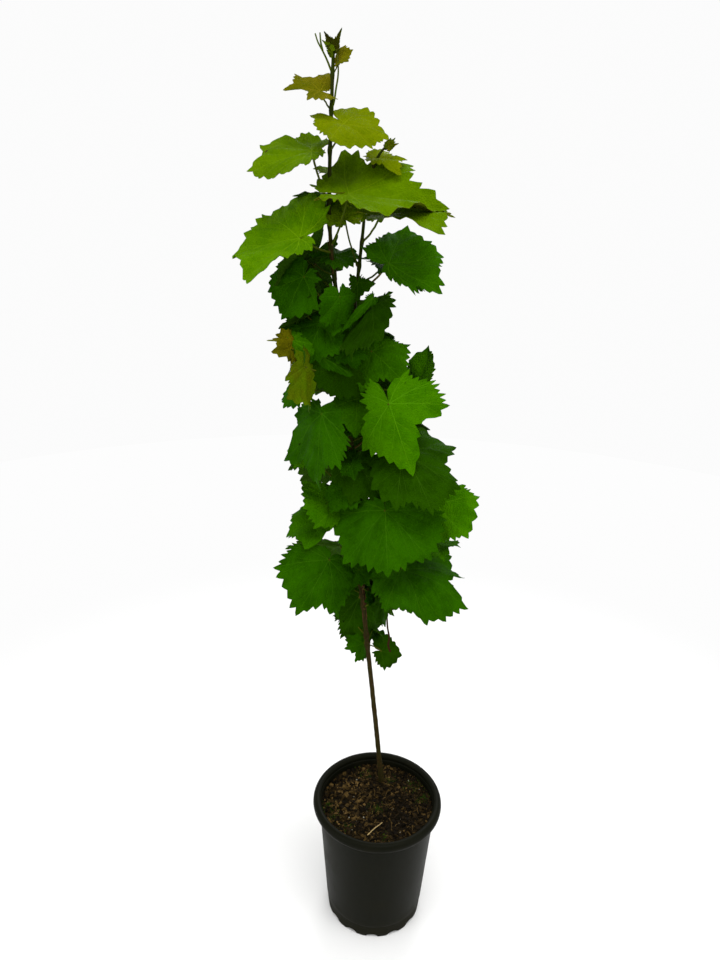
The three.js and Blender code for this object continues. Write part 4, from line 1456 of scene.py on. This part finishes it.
def addTwig(heaps, foot, heading, length, rng, tone, count):
    # A short side twig: leaves by turns left and right, smaller towards a bud at its end
    end = foot + heading * length + np.array((0, 0, 0.22 * length))
    middle = (foot + end) / 2 + np.array((rng.gauss(0, 0.08), rng.gauss(0, 0.08), -0.12)) * length
    path = bend(foot, middle, end, 12)
    bearing = math.atan2(heading[1], heading[0])
    if not keepsClear(end, Euler((0, 0, bearing)).to_matrix(), 12 * mm):
        return
    points, faces = tube(path, np.linspace(1.15, 0.55, 12) * mm, 8)
    addPart(heaps["twigs"], points, faces, 0)
    for i in range(count):
        t = 0.35 + 0.6 * i / max(1, count - 1) if count > 1 else 0.9
        base = path[int(t * 11)]
        turnOut = bearing + (1 if i % 2 else -1) * rng.uniform(0.5, 1.3) * (1 if i < count - 1 else 0.3)
        lean = np.array((math.cos(turnOut), math.sin(turnOut), 0))
        size = rng.uniform(*growth["twigBlade"]) * (1.15 - 0.35 * t) * mm
        joint = base + lean * size * rng.uniform(0.4, 0.8) + np.array((0, 0, size * rng.uniform(0.2, 0.5)))
        turn = Euler((rng.gauss(0, 0.35), rng.uniform(0.1, 0.9), turnOut), "XYZ").to_matrix()
        if not keepsClear(joint, turn, size):
            continue
        addLeaf(heaps["blades"], heaps["ribs"], joint, turn, size,
                {"fold": rng.uniform(-0.1, 0.35), "wave": 0.05}, rng.choice(tone), rng)
        addStalk(heaps["stalks"], base, lean, joint, rng, 0.5)
    addBud(heaps["buds"], path[-1], unit(path[-1] - path[-2]), 4 * mm, 1.1 * mm)


def growAtNodes(heaps, rng):
    # A bud in the angle of each leaf's stalk, but for the top and young leaves, and side twigs at some of
    # them
    for group, rows in leafRows.items():
        if group in ("top_leaf", "young_leaf"):
            continue
        for row in rows:
            foot, lean = layOut(row)[:2]
            radius = np.interp(foot[2], stemLine[:, 2], stemRadii)
            upwards = unit(lean + np.array((0, 0, 1.6)))
            addBud(heaps["buds"], foot + lean * radius * 0.8, upwards, 4.5 * mm, 1.3 * mm)
            if rng.random() > growth["twigShare"] or row[1] > growth["twigTop"]:
                continue
            bearing = math.radians(row[2]) + rng.choice((-1, 1)) * rng.uniform(0.5, 1.5)
            heading = unit(np.array((math.cos(bearing), math.sin(bearing), rng.uniform(0.1, 0.7))))
            tone = ("deep", "mid", "mid", "fresh") if row[1] > 700 else ("deep", "deep", "mid")
            length = rng.uniform(*growth["twig"]) * mm
            addTwig(heaps, foot, heading, length, rng, tone, rng.choice((2, 2, 3)))


def growFolded(heaps, rng):
    for start, end, width, fold, tone in growth["blades"]:
        start, end = np.array(start) * mm, np.array(end) * mm
        ahead = unit(end - start)
        left = unit(np.cross((0, -0.9, 0.45), ahead))
        turn = np.column_stack([ahead, left, np.cross(ahead, left)])
        side = ((20, width * 1.6, 1.2), (70, width, 1.0), (130, width * 0.8, 0.8))
        looks = {"left": side, "right": side, "fold": fold, "bend": 0.1, "tooth": leafForm["tooth"] * 0.6}
        addLeaf(heaps["blades"], heaps["ribs"], start, turn, np.linalg.norm(end - start), looks, tone, rng)


def growFillers(heaps, rng):
    low, high = growth["fillerHeights"]
    for i in range(growth["fillers"]):
        height = low + (high - low) * (i + rng.random()) / growth["fillers"]
        bearing = rng.uniform(-25, 205) if i % 3 else rng.uniform(205, 335)
        reach = rng.uniform(*growth["fillerReach"]) * (0.6 if bearing > 205 else 1)
        row = ("stem", height, bearing, reach, rng.uniform(12, 30), bearing + rng.gauss(0, 25),
               rng.uniform(20, 60), rng.gauss(0, 12), rng.uniform(*growth["fillerBlade"]))
        foot, lean, joint, turn = layOut(row)
        if not keepsClear(joint, turn, row[8] * mm):
            continue
        tone = rng.choice(("deep", "mid", "mid"))
        addLeaf(heaps["blades"], heaps["ribs"], joint, turn, row[8] * mm, {}, tone, rng)
        addStalk(heaps["stalks"], foot, lean, joint, rng, 0.7)


def growTendrils(heap):
    for route in growth["tendrils"]:
        points, faces = tube(smoothPath(np.array(route) * mm, 22), np.linspace(1.2, 0.75, 22) * mm, 7)
        addPart(heap, points, faces, 0)
    path = smoothPath(np.array(growth["dryTendril"]) * mm, 40)
    points, faces = tube(path, np.linspace(1.0, 1.5, 40) * mm, 8)
    addPart(heap, points, faces, 1)


def makeGrowth():
    rng = random.Random(29)
    heaps = {key: newHeap() for key in ("twigs", "blades", "ribs", "stalks", "buds", "tendrils")}
    growAtNodes(heaps, rng)
    growFolded(heaps, rng)
    growFillers(heaps, rng)
    growTendrils(heaps["tendrils"])
    dry = streakedMaterial("dry_tendril", growth["dry"], shoots["bark"], 0.02, 0.8, 1800.0)
    budMaterials = []
    for name, base in (("bud_scale", growth["budColour"]), ("bud_wool", growth["wool"])):
        material, tree, shader, _ = mottledMaterial(
            name, base, shoots["green"], growth["wool"], 0.15, 0.85,
            Patches=0.6, Flecks=0.4, Patch_Scale=240.0, Fleck_Scale=1500.0)
        addBump(tree, shader, noiseAt(tree, place(tree), 2600.0), 0.0004)
        budMaterials.append(material)
    makePiece("side_twigs", heaps["twigs"], stalkMaterials)
    makePiece("small_leaf_blades", heaps["blades"], bladeMaterials, (), 60)
    makePiece("small_leaf_ribs", heaps["ribs"], ribMaterials, (), 80)
    makePiece("small_leaf_stalks", heaps["stalks"], stalkMaterials)
    makePiece("buds", heaps["buds"], budMaterials)
    makePiece("tendrils", heaps["tendrils"], [stalkMaterials[0], dry])


makeGrowth()
